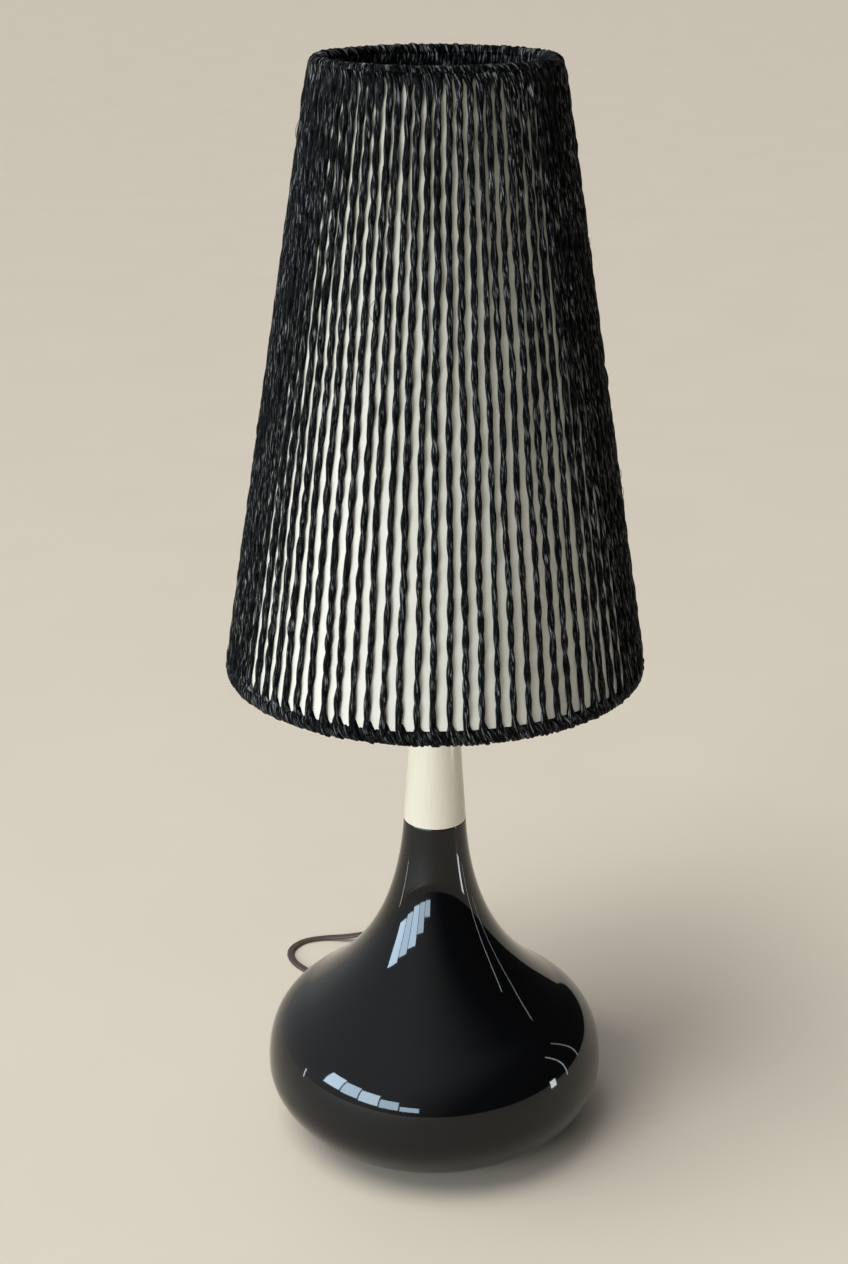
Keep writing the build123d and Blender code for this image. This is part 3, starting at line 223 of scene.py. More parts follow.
# %% [markdown]
# ## Sums of shader signals
# A material is a net of nodes, and writing each node by hand hides the idea. A small class wraps a socket,
# so that `0.3 + 0.2 * noise` adds its Math nodes by itself. Every other node comes from one method that
# takes the node's type, its settings and the values or links of its sockets.

# %% Shader helpers


class Signal:
    """A socket that can be used in sums with numbers and other signals."""

    def __init__(self, finish, socket):
        self.finish = finish
        self.socket = socket

    def sum(self, operation, first, second):
        """Adds a Math node and returns its result."""
        return self.finish.node("ShaderNodeMath", {"operation": operation}, {0: first, 1: second})

    def __add__(self, other):
        return self.sum("ADD", self, other)

    __radd__ = __add__

    def __sub__(self, other):
        return self.sum("SUBTRACT", self, other)

    def __rsub__(self, other):
        return self.sum("SUBTRACT", other, self)

    def __mul__(self, other):
        return self.sum("MULTIPLY", self, other)

    __rmul__ = __mul__


class Finish:
    """A material under construction, with its Principled shader. It is kept in FINISHES under its name."""

    def __init__(self, name, **constants):
        FINISHES[name] = bpy.data.materials.new(name)
        FINISHES[name].use_nodes = True
        self.tree = FINISHES[name].node_tree
        self.shader = self.tree.nodes["Principled BSDF"]
        self.feed(**constants)

    def set(self, socket, value):
        """Links a signal to a socket, or writes a number or a colour into it."""
        if isinstance(value, Signal):
            self.tree.links.new(value.socket, socket)
        elif isinstance(value, tuple) and len(value) == 3 and len(socket.default_value) == 4:
            socket.default_value = (*value, 1.0)
        else:
            socket.default_value = value

    def node(self, kind, settings=None, sockets=None, output=0):
        """Adds a node, sets it up, feeds its sockets and returns one of its outputs."""
        made = self.tree.nodes.new(kind)
        for key, value in (settings or {}).items():
            if key == "stops":
                for stop in value[2:]:
                    made.color_ramp.elements.new(stop[0])
                for element, (place, grey) in zip(made.color_ramp.elements, value):
                    element.position = place
                    element.color = (grey, grey, grey, 1.0)
            else:
                setattr(made, key, value)
        for key, value in (sockets or {}).items():
            self.set(made.inputs[key], value)
        return Signal(self, made.outputs[output])

    def place(self, kind="Object"):
        """Object coordinates, or the piece's own UV map, as a vector."""
        return self.node("ShaderNodeTexCoord", output=kind)

    def height(self):
        """Height above the object's origin, in metres."""
        return self.node("ShaderNodeSeparateXYZ", sockets={0: self.place()}, output=2)

    def scaled(self, vector, x, y, z):
        """The vector with each part multiplied."""
        return self.node("ShaderNodeMapping", None, {"Vector": vector, "Scale": (x, y, z)})

    def noise(self, vector, scale, detail, roughness=0.5):
        """Soft noise from 0 to 1."""
        sockets = {"Vector": vector, "Scale": scale, "Detail": detail, "Roughness": roughness}
        return self.node("ShaderNodeTexNoise", None, sockets)

    def ramp(self, value, *stops):
        """A grey looked up on a ramp of places and greys."""
        return self.node("ShaderNodeValToRGB", {"stops": stops}, {"Fac": value})

    def mix(self, share, first, second):
        """A blend of two colours."""
        return self.node("ShaderNodeMix", {"data_type": "RGBA"}, {0: share, 6: first, 7: second}, output=2)

    def bump(self, height, distance, strength):
        """A height in shares of a distance becomes the surface's normal."""
        sockets = {"Height": height, "Distance": distance, "Strength": strength}
        self.feed(Normal=self.node("ShaderNodeBump", None, sockets))

    def feed(self, **sockets):
        """Feeds the shader's own sockets."""
        for socket, value in sockets.items():
            self.set(self.shader.inputs[socket.replace("_", " ")], value)


def linear(red, green, blue):
    """A colour as the eye sees it, 0 to 255, as the linear values that a shader wants: a straight line at the
    dark end, and a power of 2.4 above it."""
    share = np.array([red, green, blue]) / 255
    light = np.where(share <= 0.04045, share / 12.92, ((share + 0.055) / 1.055) ** 2.4)
    return tuple(float(value) for value in light)


print("shader helpers ready")

# %% [markdown]
# ## Finishes that several pieces share
# Mouldings, metals and glass differ from each other in colour, gloss and grain, so one function for each
# family makes them. A little noise in the colour and the roughness, and a faint bump, keep them from
# looking like plain paint. Each finish has the name of the slot that it belongs to in the part's record.

# %% Shared finishes


def moulded(name, colour, roughness, grain=900.0, depth=0.00004):
    """Moulded plastic or rubber: cloudy colour, uneven gloss and a fine grain."""
    finish = Finish(name)
    place = finish.place()
    cloud = finish.noise(place, 60.0, 4.0)
    speckle = finish.noise(place, grain, 2.0)
    darker = tuple(0.72 * part for part in colour)
    lighter = tuple(min(1.0, 1.18 * part + 0.002) for part in colour)
    finish.bump(speckle + 0.5 * cloud, depth, 0.5)
    finish.feed(Base_Color=finish.mix(cloud, darker, lighter), Roughness=roughness - 0.08 + 0.16 * cloud)


def metal(name, colour, roughness, brush=(300.0, 300.0, 40.0)):
    """Plated or bare metal: fine drawn lines in the gloss and slightly dull patches."""
    finish = Finish(name, Metallic=1.0)
    place = finish.place()
    lines = finish.noise(finish.scaled(place, *brush), 6.0, 4.0)
    patches = finish.noise(place, 90.0, 3.0)
    dull = tuple(0.75 * part for part in colour)
    finish.bump(lines, 0.00002, 0.4)
    uneven = roughness - 0.06 + 0.1 * lines + 0.06 * patches
    finish.feed(Base_Color=finish.mix(patches, dull, colour), Roughness=uneven)


def glass(name, colour, roughness, transmission):
    """Glass with a trace of waviness."""
    finish = Finish(name, Transmission_Weight=transmission, IOR=1.5)
    wave = finish.noise(finish.place(), 55.0, 2.0)
    pale = tuple(0.93 * part for part in colour)
    finish.bump(wave, 0.0001, 0.25)
    finish.feed(Base_Color=finish.mix(wave, pale, colour), Roughness=roughness - 0.03 + 0.06 * wave)


moulded("dark_moulding", linear(27, 23, 21), 0.3)
moulded("brown_plastic", linear(58, 42, 34), 0.34)
moulded("cream_plastic", linear(227, 220, 196), 0.32)
moulded("brown_rubber", linear(46, 33, 28), 0.6, grain=1400.0, depth=0.00008)
moulded("brown_insulation", linear(107, 66, 38), 0.4)
moulded("blue_insulation", linear(43, 74, 134), 0.4)
moulded("porcelain", linear(236, 233, 224), 0.22, grain=500.0)
moulded("shade_wire", linear(217, 212, 198), 0.38, grain=700.0)
moulded("black_glass", linear(21, 21, 26), 0.12)
metal("zinc_steel", linear(169, 171, 173), 0.38)
metal("spring_steel", linear(139, 141, 144), 0.28)
metal("nickel_plate", linear(201, 198, 189), 0.2, brush=(80.0, 80.0, 400.0))
metal("brass", linear(185, 146, 63), 0.3)
metal("solder", linear(154, 154, 152), 0.48)
glass("frosted_glass", linear(242, 239, 230), 0.3, 0.12)
glass("clear_glass", linear(235, 240, 238), 0.05, 1.0)
print(len(FINISHES), "finishes so far")

# %% [markdown]
# ## The lead
# The lead is a flat brown twin flex, 5 mm wide, with a groove between its two wires. It leaves the base at
# the back, runs to the switch, then into a neat coil with the length that nobody needs, and ends in the plug.
# The points below are a smooth curve's control points, and only the coil's are worked out. It
# could be a curve with a round bevel, but a twin flex is flat, so a flat section is carried along the curve.

# %% Route and section of the lead
# Places and reaches of the route and the coil are in millimetres
LEAD_WIDTH = 5.0 * MM
LEAD_THICK = 2.7 * MM
LIES = LEAD_THICK / 2 / MM  # height of the middle of the flex when it lies on the floor
EXIT_ANGLE = math.radians(112.0)
EXIT_REACH, EXIT_HEIGHT = 115.0, 13.0
EXIT_RUN = 14.0  # straight piece outside the base
EXIT_DIRECTION = np.array([math.cos(EXIT_ANGLE), math.sin(EXIT_ANGLE), 0.0])
EXIT = EXIT_DIRECTION * EXIT_REACH + np.array([0, 0, EXIT_HEIGHT])
LAMP_ROUTE = [
    EXIT,
    EXIT + EXIT_DIRECTION * EXIT_RUN,
    (-57.0, 138.5, 7.2),
    (-70.0, 156.0, 2.4),
    (-88.0, 170.5, LIES),
    (-103.5, 187.5, LIES),
    (-107.5, 204.5, LIES),
    (-99.0, 219.0, LIES),
    (-82.5, 224.5, LIES),
    (-65.0, 222.0, 3.6),
    (-48.0, 220.0, 8.0),
    (-34.0, 220.0, 8.0),
]
TO_COIL_ROUTE = [
    (24.0, 220.0, 8.0),
    (38.0, 220.0, 8.0),
    (47.9, 210.1, 5.6),
    (47.9, 196.1, 2.2),
    (38.0, 186.2, LIES),
    (24.0, 185.6, LIES),
    (10.0, 185.4, LIES),
]
TO_PLUG_ROUTE = [
    (47.5, 152.0, LIES + 2.4),
    (47.5, 166.0, LIES + 1.4),
    (57.4, 175.9, LIES),
    (71.4, 175.9, LIES + 0.6),
    (81.3, 166.0, 6.0),
    (81.3, 152.0, 7.0),
]
COIL_MIDDLE = np.array([7.5, 145.4])
COIL_WIDE, COIL_NARROW = 40.0, 20.0
COIL_START = math.radians(90)
TURNS_IN, TURNS_OUT = 4.0, 3.75
STEP_UP = 0.25  # part of a turn that the step up to the second layer takes
POINTS_PER_TURN = 16
GROOVE_WIDTH = 0.5 * MM
GROOVE_DEPTH = 0.3  # share of the flex's thickness


def coil_points():
    """Turns on the floor from the wide to the narrow radius, then back out on top of them. The angle grows
    evenly, and the radius and the step up to the second layer follow it in straight lines."""
    points = []
    total = int((TURNS_IN + TURNS_OUT) * POINTS_PER_TURN)
    for step in range(1, total):
        turn = step / POINTS_PER_TURN
        angle = COIL_START + 2 * math.pi * turn
        inward = min(turn / TURNS_IN, 1.0)
        outward = max(turn - TURNS_IN, 0.0) / TURNS_OUT
        radius = COIL_WIDE + (COIL_NARROW - COIL_WIDE) * (inward - outward)
        lift = LEAD_THICK / MM * min(max((turn - TURNS_IN) / STEP_UP + 0.5, 0.0), 1.0)
        x, y = COIL_MIDDLE + radius * np.array([math.cos(angle), math.sin(angle)])
        points.append((x, y, LIES + lift))
    return points


def smooth_line(name, route):
    """The points of a smooth curve whose control points are the route's, given in millimetres."""
    data = bpy.data.curves.new(name, "CURVE")
    data.dimensions = "3D"
    spline = data.splines.new("NURBS")
    spline.points.add(len(route) - 1)
    for point, place in zip(spline.points, route):
        point.co = (*(float(value) * MM for value in place), 1.0)
    spline.order_u = 3
    spline.use_endpoint_u = True
    spline.resolution_u = 8
    holder = bpy.data.objects.new(name, data)
    bpy.context.scene.collection.objects.link(holder)
    line = bpy.data.meshes.new_from_object(holder.evaluated_get(bpy.context.evaluated_depsgraph_get()))
    points = np.array([vertex.co for vertex in line.vertices])
    bpy.data.objects.remove(holder)
    bpy.data.meshes.remove(line)
    bpy.data.curves.remove(data)
    return points


def flex_section(sides=20):
    """Outline of the twin flex: two rounds side by side. Across goes with the cosine of the angle. The
    height goes with the sine to the power 0.6, narrowed at the middle by a groove shaped like a bell."""
    angle = full_turn(sides)
    across = LEAD_WIDTH / 2 * np.cos(angle)
    groove = GROOVE_DEPTH * np.exp(-((across / GROOVE_WIDTH) ** 2))
    level = LEAD_THICK / 2 * np.sign(np.sin(angle)) * np.abs(np.sin(angle)) ** 0.6 * (1 - groove)
    return across, level


def flex(name, line):
    """The twin flex, its broad side level, carried along a line, and its length."""
    ahead = unit(np.gradient(line, axis=0))
    side = unit(np.cross(ahead, (0.0, 0.0, 1.0)))
    above = np.cross(side, ahead)
    across, level = flex_section()
    grid = line[:, None] + side[:, None] * across[None, :, None] + above[:, None] * level[None, :, None]
    steps = np.linalg.norm(np.diff(line, axis=0), axis=1)
    lengths = np.concatenate([[0.0], np.cumsum(steps)])
    return skin(name, grid[None], lengths=lengths[None]), float(lengths[-1])


def flex_finish():
    """Soft brown cover: cloudy colour, faint stretch marks along it and a dull gloss."""
    finish = Finish("brown_flex")
    place = finish.place("UV")
    marks = finish.noise(finish.scaled(place, 14.0, 160.0, 1.0), 1.0, 4.0)
    cloud = finish.noise(finish.place(), 35.0, 3.0)
    finish.bump(marks, 0.00008, 0.5)
    colour = finish.mix(cloud, linear(62, 46, 41), linear(92, 74, 66))
    finish.feed(Base_Color=colour, Roughness=0.42 + 0.14 * marks)


flex_finish()
lamp_line = smooth_line("lamp_line", LAMP_ROUTE)
coil_line = smooth_line("coil_line", [*TO_COIL_ROUTE, *coil_points(), *TO_PLUG_ROUTE])
lamp_flex, lamp_flex_length = flex("lamp_flex", lamp_line)
coil_flex, coil_flex_length = flex("coil_flex", coil_line)
finished(lamp_flex, "lamp", "brown_flex", "lamp_lead")
finished(coil_flex, "lamp", "brown_flex", "switch_lead", "cord_coil", "plug_lead")
print("lead", round(lamp_flex_length, 3), "m to the switch,", round(coil_flex_length, 3), "m on to the plug")

# %% [markdown]
# ## Copies with softened edges
# The small moulded pieces come right from the engineer's model, but their meshes are loose triangles with
# knife edges. A copy is merged, its flat faces are joined, and a narrow bevel softens the edges, as a mould
# does. The copy then stands for the model's node.

# %% Softened copies
SAME_CORNER = 0.001 * MM
SAME_PLANE = math.radians(0.5)
SHARP_EDGE = math.radians(30)


def softened(node, body, slot, width=0.3 * MM):
    """A copy of a node's mesh with merged corners, joined flat faces and bevelled edges."""
    mesh = bpy.data.meshes.new(node + "_piece")
    work = bmesh.new()
    work.from_mesh(frame["nodes"][node].data)
    bmesh.ops.remove_doubles(work, verts=work.verts, dist=SAME_CORNER)
    bmesh.ops.dissolve_limit(work, angle_limit=SAME_PLANE, verts=work.verts, edges=work.edges)
    work.to_mesh(mesh)
    work.free()
    mesh.polygons.foreach_set("use_smooth", np.ones(len(mesh.polygons), bool))
    mesh.set_sharp_from_angle(angle=SHARP_EDGE)
    piece = bpy.data.objects.new(mesh.name, mesh)
    bpy.context.scene.collection.objects.link(piece)
    if width:
        bevel = piece.modifiers.new("soft_edge", "BEVEL")
        bevel.width = width
        bevel.segments = 2
        bevel.limit_method = "ANGLE"
        bevel.angle_limit = SHARP_EDGE
        bevel.harden_normals = True
    return finished(piece, body, slot, node)


switch_pieces = [
    softened("switch_bottom", "lamp", "brown_plastic"),
    softened("switch_top", "lamp", "brown_plastic"),
    softened("switch_rocker", "rocker", "cream_plastic", 0.25 * MM),
]
plug_pieces = [
    softened("plug_bottom", "lamp", "brown_plastic"),
    softened("plug_top", "lamp", "brown_plastic"),
    softened("plug_pins", "lamp", "nickel_plate", 0),
    softened("plug_sleeve", "lamp", "brown_rubber", 0.2 * MM),
]
softened("cord_relief", "lamp", "brown_rubber", 0.2 * MM)
tuple(value * MM for value in TO_COIL_ROUTE[0])
print(len(switch_pieces) + len(plug_pieces), "pieces on the lead")

# %% [markdown]
# ## The glazed base
# The base is a hollow thrown body with one flowing outline: a flat foot, a round belly, and a throat that
# sweeps up to the neck. Its outline is three Bezier curves in radius and height. It is turned with many
# columns because a mirror-like glaze shows every facet. Waves of at most a tenth of a millimetre make the
# reflections wander a little, as on anything thrown by hand.

# %% Outline of the base
# Points as radius and height, lengths in millimetres, angles in degrees
FOOT, BELLY, WAIST, RIM = np.array([(62.0, 2.0), (105.0, 44.2), (78.0, 91.0), (19.0, 210.0)])
FOOT_HANDLE, FOOT_RISE = 26.0, 12.8
BELLY_HANDLES = (19.4, 32.4)  # below and above
WAIST_HANDLES, WAIST_SLOPE = (13.5, 37.0), 39.2
RIM_HANDLE, RIM_TAPER = 66.4, 3.3
RIM_CROWN, RIM_ROUND = 0.2, 1.0
BASE_WALL = 5.0
PLATE_LEDGE = [(45.0, 7.0), (45.0, 4.5), (49.3, 4.5), (49.3, 2.0)]


def heading(length, degrees):
    """A step of a length at an angle above the level, in the outline's plane."""
    angle = math.radians(degrees)
    return length * np.array([math.cos(angle), math.sin(angle)])


def bezier(start, start_handle, end_handle, end, steps):
    """Cubic curve: each point is weighed by the powers of the share of the way and of what is left."""
    done = np.linspace(0, 1, steps)[:, None]
    left = 1 - done
    first_half = left**3 * start + 3 * left**2 * done * start_handle
    return first_half + 3 * left * done**2 * end_handle + done**3 * end


def base_outline(inset, steps=52):
    """The outline from foot to rim, moved inwards: a curve for the underside, the shoulder and the throat."""
    foot, belly, rim = FOOT + (0, inset), BELLY - (inset, 0), RIM - (inset, 0)
    waist = WAIST - heading(inset, 90 - WAIST_SLOPE)
    below, above = (heading(length, 180 - WAIST_SLOPE) for length in WAIST_HANDLES)
    under = bezier(foot, foot + heading(FOOT_HANDLE, FOOT_RISE), belly - (0, BELLY_HANDLES[0]), belly, steps)
    shoulder = bezier(belly, belly + (0, BELLY_HANDLES[1]), waist - below, waist, steps)
    throat = bezier(waist, waist + above, rim - heading(RIM_HANDLE, 90 + RIM_TAPER), rim, steps)
    return np.concatenate([under, shoulder[1:], throat[1:]])


def base_profile():
    """Outside up to the rounded rim, down inside, and back along the floor with the ledge for the plate."""
    outside = base_outline(0.0)
    inside = base_outline(BASE_WALL)[::-3]
    crown = np.array([outside[-1], (outside[-1] + inside[0]) / 2]) + (0, RIM_CROWN)
    lip = rounded([outside[-2], *crown, inside[0], inside[1]], RIM_ROUND, steps=5)[1:-1]
    return np.concatenate([outside[:-1], lip, inside[1:], PLATE_LEDGE]) * MM


print("outline", len(base_outline(0.0)), "points from foot to rim")

# %% [markdown]
# The glaze is deep black and nearly as smooth as a mirror. Soft noise in its normal bends the reflections, a
# finer noise adds pits, and a ramp picks a few dull specks of dust out of a third.

# %% Glaze


def glaze_finish():
    """Deep black glaze: nearly mirror-like, with soft waves and a few dull specks of dust."""
    finish = Finish("black_glaze", IOR=1.42)
    place = finish.place()
    waves = finish.noise(place, 26.0, 1.0)
    pits = finish.noise(place, 420.0, 1.0)
    specks = finish.ramp(finish.noise(place, 1500.0, 1.0), (0.0, 0.0), (0.76, 0.0), (0.8, 1.0))
    finish.bump(waves + 0.02 * pits, 0.0009, 0.22)
    colour = finish.mix(specks, linear(7, 8, 10), linear(40, 42, 46))
    finish.feed(Base_Color=colour, Roughness=0.025 + 0.03 * waves + 0.25 * specks)


glaze_finish()
base_piece = turned("glazed_base", base_profile(), columns=288, closed=True, wobble=0.05 * MM, sharp=50)
finished(base_piece, "lamp", "black_glaze", "base_body")
print("base", len(base_piece.data.polygons), "faces")

# %% [markdown]
# ## The lacquered neck
# The neck is a thin cone under cream lacquer. The lacquer was brushed upwards, so faint streaks run along
# it, and its gloss is softer than the glaze's. Both edges are rolled a little.

# %% Neck
NECK_LOW, NECK_HIGH = (corner.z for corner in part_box("neck_sleeve"))
NECK_LOW_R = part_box("neck_sleeve")[1].x
NECK_HIGH_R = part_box("neck_cap")[1].x
NECK_WALL = 1.5 * MM
NECK_EDGE = 0.7 * MM


def lacquer_finish():
    """Cream lacquer with brushed streaks, slightly yellower in the hollows of the streaks."""
    finish = Finish("cream_lacquer", Coat_Weight=0.5, Coat_Roughness=0.14)
    place = finish.place()
    streaks = finish.noise(finish.scaled(place, 700.0, 700.0, 22.0), 1.0, 5.0, 0.6)
    cloud = finish.noise(place, 45.0, 3.0)
    finish.bump(streaks + 0.3 * cloud, 0.00009, 0.5)
    colour = finish.mix(0.65 * streaks + 0.35 * cloud, linear(232, 227, 203), linear(251, 249, 236))
    finish.feed(Base_Color=colour, Roughness=0.3 + 0.16 * streaks)


lacquer_finish()
neck_profile = rounded(
    [
        (NECK_LOW_R - NECK_WALL / 2, NECK_LOW),
        (NECK_LOW_R, NECK_LOW),
        (NECK_HIGH_R, NECK_HIGH),
        (NECK_HIGH_R - NECK_WALL, NECK_HIGH),
        (NECK_LOW_R - NECK_WALL, NECK_LOW),
        (NECK_LOW_R - NECK_WALL / 2, NECK_LOW),
    ],
    NECK_EDGE,
)[:-1]
neck_piece = turned("lacquered_neck", neck_profile, columns=128, closed=True)
finished(neck_piece, "lamp", "cream_lacquer", "neck_sleeve")
softened("neck_cap", "lamp", "cream_lacquer")
print("neck from", round(NECK_LOW, 3), "to", round(NECK_HIGH, 3))

# %% [markdown]
# ## The liner
# Behind the strings stands a thin cone of pale parchment paper. Its lower edge was cut by hand, so it waves a
# little and comes up by a millimetre at the front right. At the back the paper laps over itself. It could be
# one flat sheet rolled up, but a grid with the lap and the cut as small offsets is enough.

# %% Shade measures and the liner
BOTTOM_RING = np.array([118.7, 313.7]) * MM
TOP_RING = np.array([64.3, 656.0]) * MM
SLANT = TOP_RING - BOTTOM_RING
SLANT_LENGTH = float(np.linalg.norm(SLANT))
UP_SLANT = SLANT / SLANT_LENGTH
OUT_SLANT = np.array([UP_SLANT[1], -UP_SLANT[0]])
LINER_EDGE, LINER_TOP_EDGE = 3.2 * MM, 2.6 * MM  # along the slant from each ring's middle
LINER_OUT, LINER_THICK = 1.58 * MM, 0.25 * MM  # inner face from the line between the rings, and the paper
# Painted shade on the liner grows between these two heights
LINER_SHADE_HEIGHTS = (0.42, 0.66)  # heights between which the paper turns darker
CUT_RISE, CUT_AT, CUT_REACH = 1.0 * MM, math.radians(289), math.radians(27)
CUT_WAVE = 0.15 * MM
LAP_RISE, LAP_AT, LAP_REACH = 0.3 * MM, math.radians(101), math.radians(2.2)
RIPPLE = 0.12 * MM


def on_slant(along, out):
    """Radius and height of a point that far up the slant from the bottom ring and that far out from it."""
    return tuple(BOTTOM_RING[axis] + UP_SLANT[axis] * along + OUT_SLANT[axis] * out for axis in (0, 1))


def liner_grid(rows=60, columns=288):
    """Outside upwards, then inside downwards. The way up runs from the cut edge to the top edge. The cut
    and the lap are bells of the angle with a flat top: e to the minus the fourth and the eighth power. The
    ripple has six waves round, and fades towards both edges."""
    angle = full_turn(columns)
    share = np.linspace(0, 1, rows)[:, None]
    cut = CUT_RISE * np.exp(-(((angle - CUT_AT) / CUT_REACH) ** 4))
    low = LINER_EDGE + cut + CUT_WAVE * np.sin(7 * angle)
    along = low + (SLANT_LENGTH - LINER_TOP_EDGE - low) * share
    lap = LAP_RISE * np.exp(-(((angle - LAP_AT) / LAP_REACH) ** 8))
    ripple = RIPPLE * np.sin(6 * angle + 4 * share) * np.sin(math.pi * share)
    outside = round_the_axis(*on_slant(along, LINER_OUT + LINER_THICK + lap + ripple), angle)
    inside = round_the_axis(*on_slant(along, LINER_OUT + ripple), angle)
    return np.concatenate([outside, inside[::-1]])


def liner_finish():
    """Matte parchment: soft mottling, painted shade that darkens it towards the top, and a fine paper tooth.
    """
    finish = Finish("cream_liner")
    place = finish.place()
    mottle = finish.noise(place, 28.0, 5.0, 0.6)
    tooth = finish.noise(place, 900.0, 3.0)
    finish.bump(tooth + 0.6 * mottle, 0.00008, 0.4)
    # Painted shade: a ramp of the height blends the paper from a lit copy of its colour to a darker, shaded
    # copy towards the top
    painted_shade = finish.ramp(finish.height(), (LINER_SHADE_HEIGHTS[0], 0.0), (LINER_SHADE_HEIGHTS[1], 1.0))
    pale = finish.mix(mottle, linear(212, 211, 198), linear(235, 236, 229))
    dark = finish.mix(mottle, linear(178, 177, 162), linear(199, 199, 188))
    finish.feed(Base_Color=finish.mix(painted_shade, pale, dark), Roughness=0.66 + 0.16 * tooth)


liner_finish()
liner_piece = skin("parchment_liner", liner_grid()[None], closed_rows=True, sharp=60)
finished(liner_piece, "shade", "cream_liner", "liner")
print("liner", len(liner_piece.data.polygons), "faces")

# %% [markdown]
# ## Two-ply string
# The shade is wound with one long string of two plies. It comes down outside, goes round the bottom ring
# twice more than it needs to, climbs inside, and passes over the top ring to the next place. So each of its
# eighty-four rounds has four stretches: outside, bottom, inside and top. The middle line of a round is
# worked out first. At the bottom the extra turns are drawn up against the string. One list says where on
# the ring each part of a turn lies, another how much slacker or tighter it is than the rest, and a sine wave
# makes all of it lean to the right.

# %% The string's course
ROUNDS = 84
PITCH = 2 * math.pi / ROUNDS
WRAP = 3.3 * MM  # middle of the string from the middle of a wire ring
# Turns round each wire, the place on the ring for each in shares of the pitch, and its slack
BOTTOM_TURNS = (0.0, 0.25, 0.5, 0.75, 1.0, 1.25, 1.5, 1.75, 2.0, 2.25, 2.5)
BOTTOM_PLACES = (0.0, 0.1, 0.12, 0.16, 0.31, 0.45, 0.47, 0.51, 0.65, 0.78, 0.8)
BOTTOM_SLACK = np.array([0.0, 0.7, 0.0, 0.9, 0.3, 0.0, 0.0, -0.9, 0.0, 0.5, 0.0]) * MM
TOP_TURNS = (0.5, 1.0)
TOP_PLACES = (-0.5, 0.0)
TOP_SLACK = (0.0, 0.0)
UNEVEN_BOTTOM, UNEVEN_TOP = 0.04, 0.06  # spread of the strings' places, in shares of the pitch
LEAN_BOTTOM, LEAN_TOP = 1.2 * MM, 1.6 * MM  # how far a string leans sideways at each ring
LEAN_REACH = 8.0 * MM
OUTSIDE_STEP, INSIDE_STEP, WRAP_STEP = 2.9 * MM, 4.0 * MM, 1.6 * MM  # from point to point


def keyed(turn, turns, values, blur=20):
    """Values looked up between the keys, their corners rounded off by a running average."""
    fine = np.linspace(turns[0], turns[-1], 100 * len(turns))
    window = np.hanning(2 * blur + 1)
    cornered = np.pad(np.interp(fine, turns, values), blur, mode="edge")
    return np.interp(turn, fine, np.convolve(cornered, window / window.sum(), "valid"))


def leg(count, out, first_angle, last_angle, downwards):
    """Straight stretch between the rings. Near each ring it leans: s * (2 - s) of the distance s from it."""
    share = np.linspace(0, 1, count)[None, :]
    along = SLANT_LENGTH * (1 - share if downwards else share)
    radius, height = on_slant(along, out)
    up = along / SLANT_LENGTH
    low = np.clip(along / LEAN_REACH, 0, 1)
    high = np.clip((SLANT_LENGTH - along) / LEAN_REACH, 0, 1)
    side = (1 - up) * -LEAN_BOTTOM * low * (2 - low) + up * LEAN_TOP * high * (2 - high)
    angle = first_angle[:, None] + (last_angle - first_angle)[:, None] * share + side / radius
    return radius, height, angle


def wrap(ring, turns, places, slack, lean, start):
    """Turns about a wire ring. One goes outside, below, inside and above the wire: out with the cosine of
    the turn and down with its sine. The slack is how much further from the wire each part of a turn lies."""
    count = int(2 * math.pi * WRAP * (turns[-1] - turns[0]) / WRAP_STEP)
    turn = np.linspace(turns[0], turns[-1], count)[None, :]
    cosine, sine = np.cos(2 * math.pi * turn), np.sin(2 * math.pi * turn)
    away = WRAP + keyed(turn, turns, slack)
    radius, height = (
        ring[axis] + away * (cosine * OUT_SLANT[axis] - sine * UP_SLANT[axis]) for axis in (0, 1)
    )
    side = PITCH * keyed(turn, turns, places) + lean / ring[0] * sine
    return radius, height, start[:, None] + side


def string_course():
    """The four stretches of every round, as points of shape (rounds, points, 3), with where each starts and
    where the last one ends."""
    number = np.arange(ROUNDS)
    top = PITCH * (number + random.normal(0, UNEVEN_TOP, ROUNDS))
    bottom = PITCH * (number + random.normal(0, UNEVEN_BOTTOM, ROUNDS))
    next_top = np.append(top[1:], top[0] + 2 * math.pi)
    inside_bottom = bottom + PITCH * BOTTOM_PLACES[-1]
    inside_top = next_top + PITCH * TOP_PLACES[0]
    stretches = [
        leg(int(SLANT_LENGTH / OUTSIDE_STEP), WRAP, top, bottom, True),
        wrap(BOTTOM_RING, BOTTOM_TURNS, BOTTOM_PLACES, BOTTOM_SLACK, LEAN_BOTTOM, bottom),
        leg(int(SLANT_LENGTH / INSIDE_STEP), -WRAP, inside_bottom, inside_top, False),
        wrap(TOP_RING, TOP_TURNS, TOP_PLACES, TOP_SLACK, 0.0, next_top),
    ]
    parts = [round_the_axis(*stretch)[:, (1 if index else 0):] for index, stretch in enumerate(stretches)]
    ends = np.cumsum([part.shape[1] for part in parts]) - 1
    return np.concatenate(parts, axis=1), [0, *ends.tolist()]


def slow_noise(way, waves, shortest, longest):
    """Smooth noise along each string: a sum of sine waves with random lengths and starts."""
    length = random.uniform(shortest, longest, (len(way), waves, 1))
    start = random.uniform(0, 2 * math.pi, (len(way), waves, 1))
    return np.sin(2 * math.pi * way[:, None] / length + start).sum(axis=1) / math.sqrt(waves)


course, course_ends = string_course()
print("course", course.shape, "stretches end at", course_ends)

# %% [markdown]
# ## Plies
# Each ply is a tube whose centre turns about the string's middle line, so the string looks wide where the
# plies lie side by side and narrow where one hides the other. A ply is a crumpled strip of paper, not a
# smooth wire, so its section is a circle with two and three shallow lobes that drift along it. The string
# wanders sideways a little, and its twist is tighter in some places. It is pressed flat on the rings, and it
# spreads where it comes down onto the lower one.

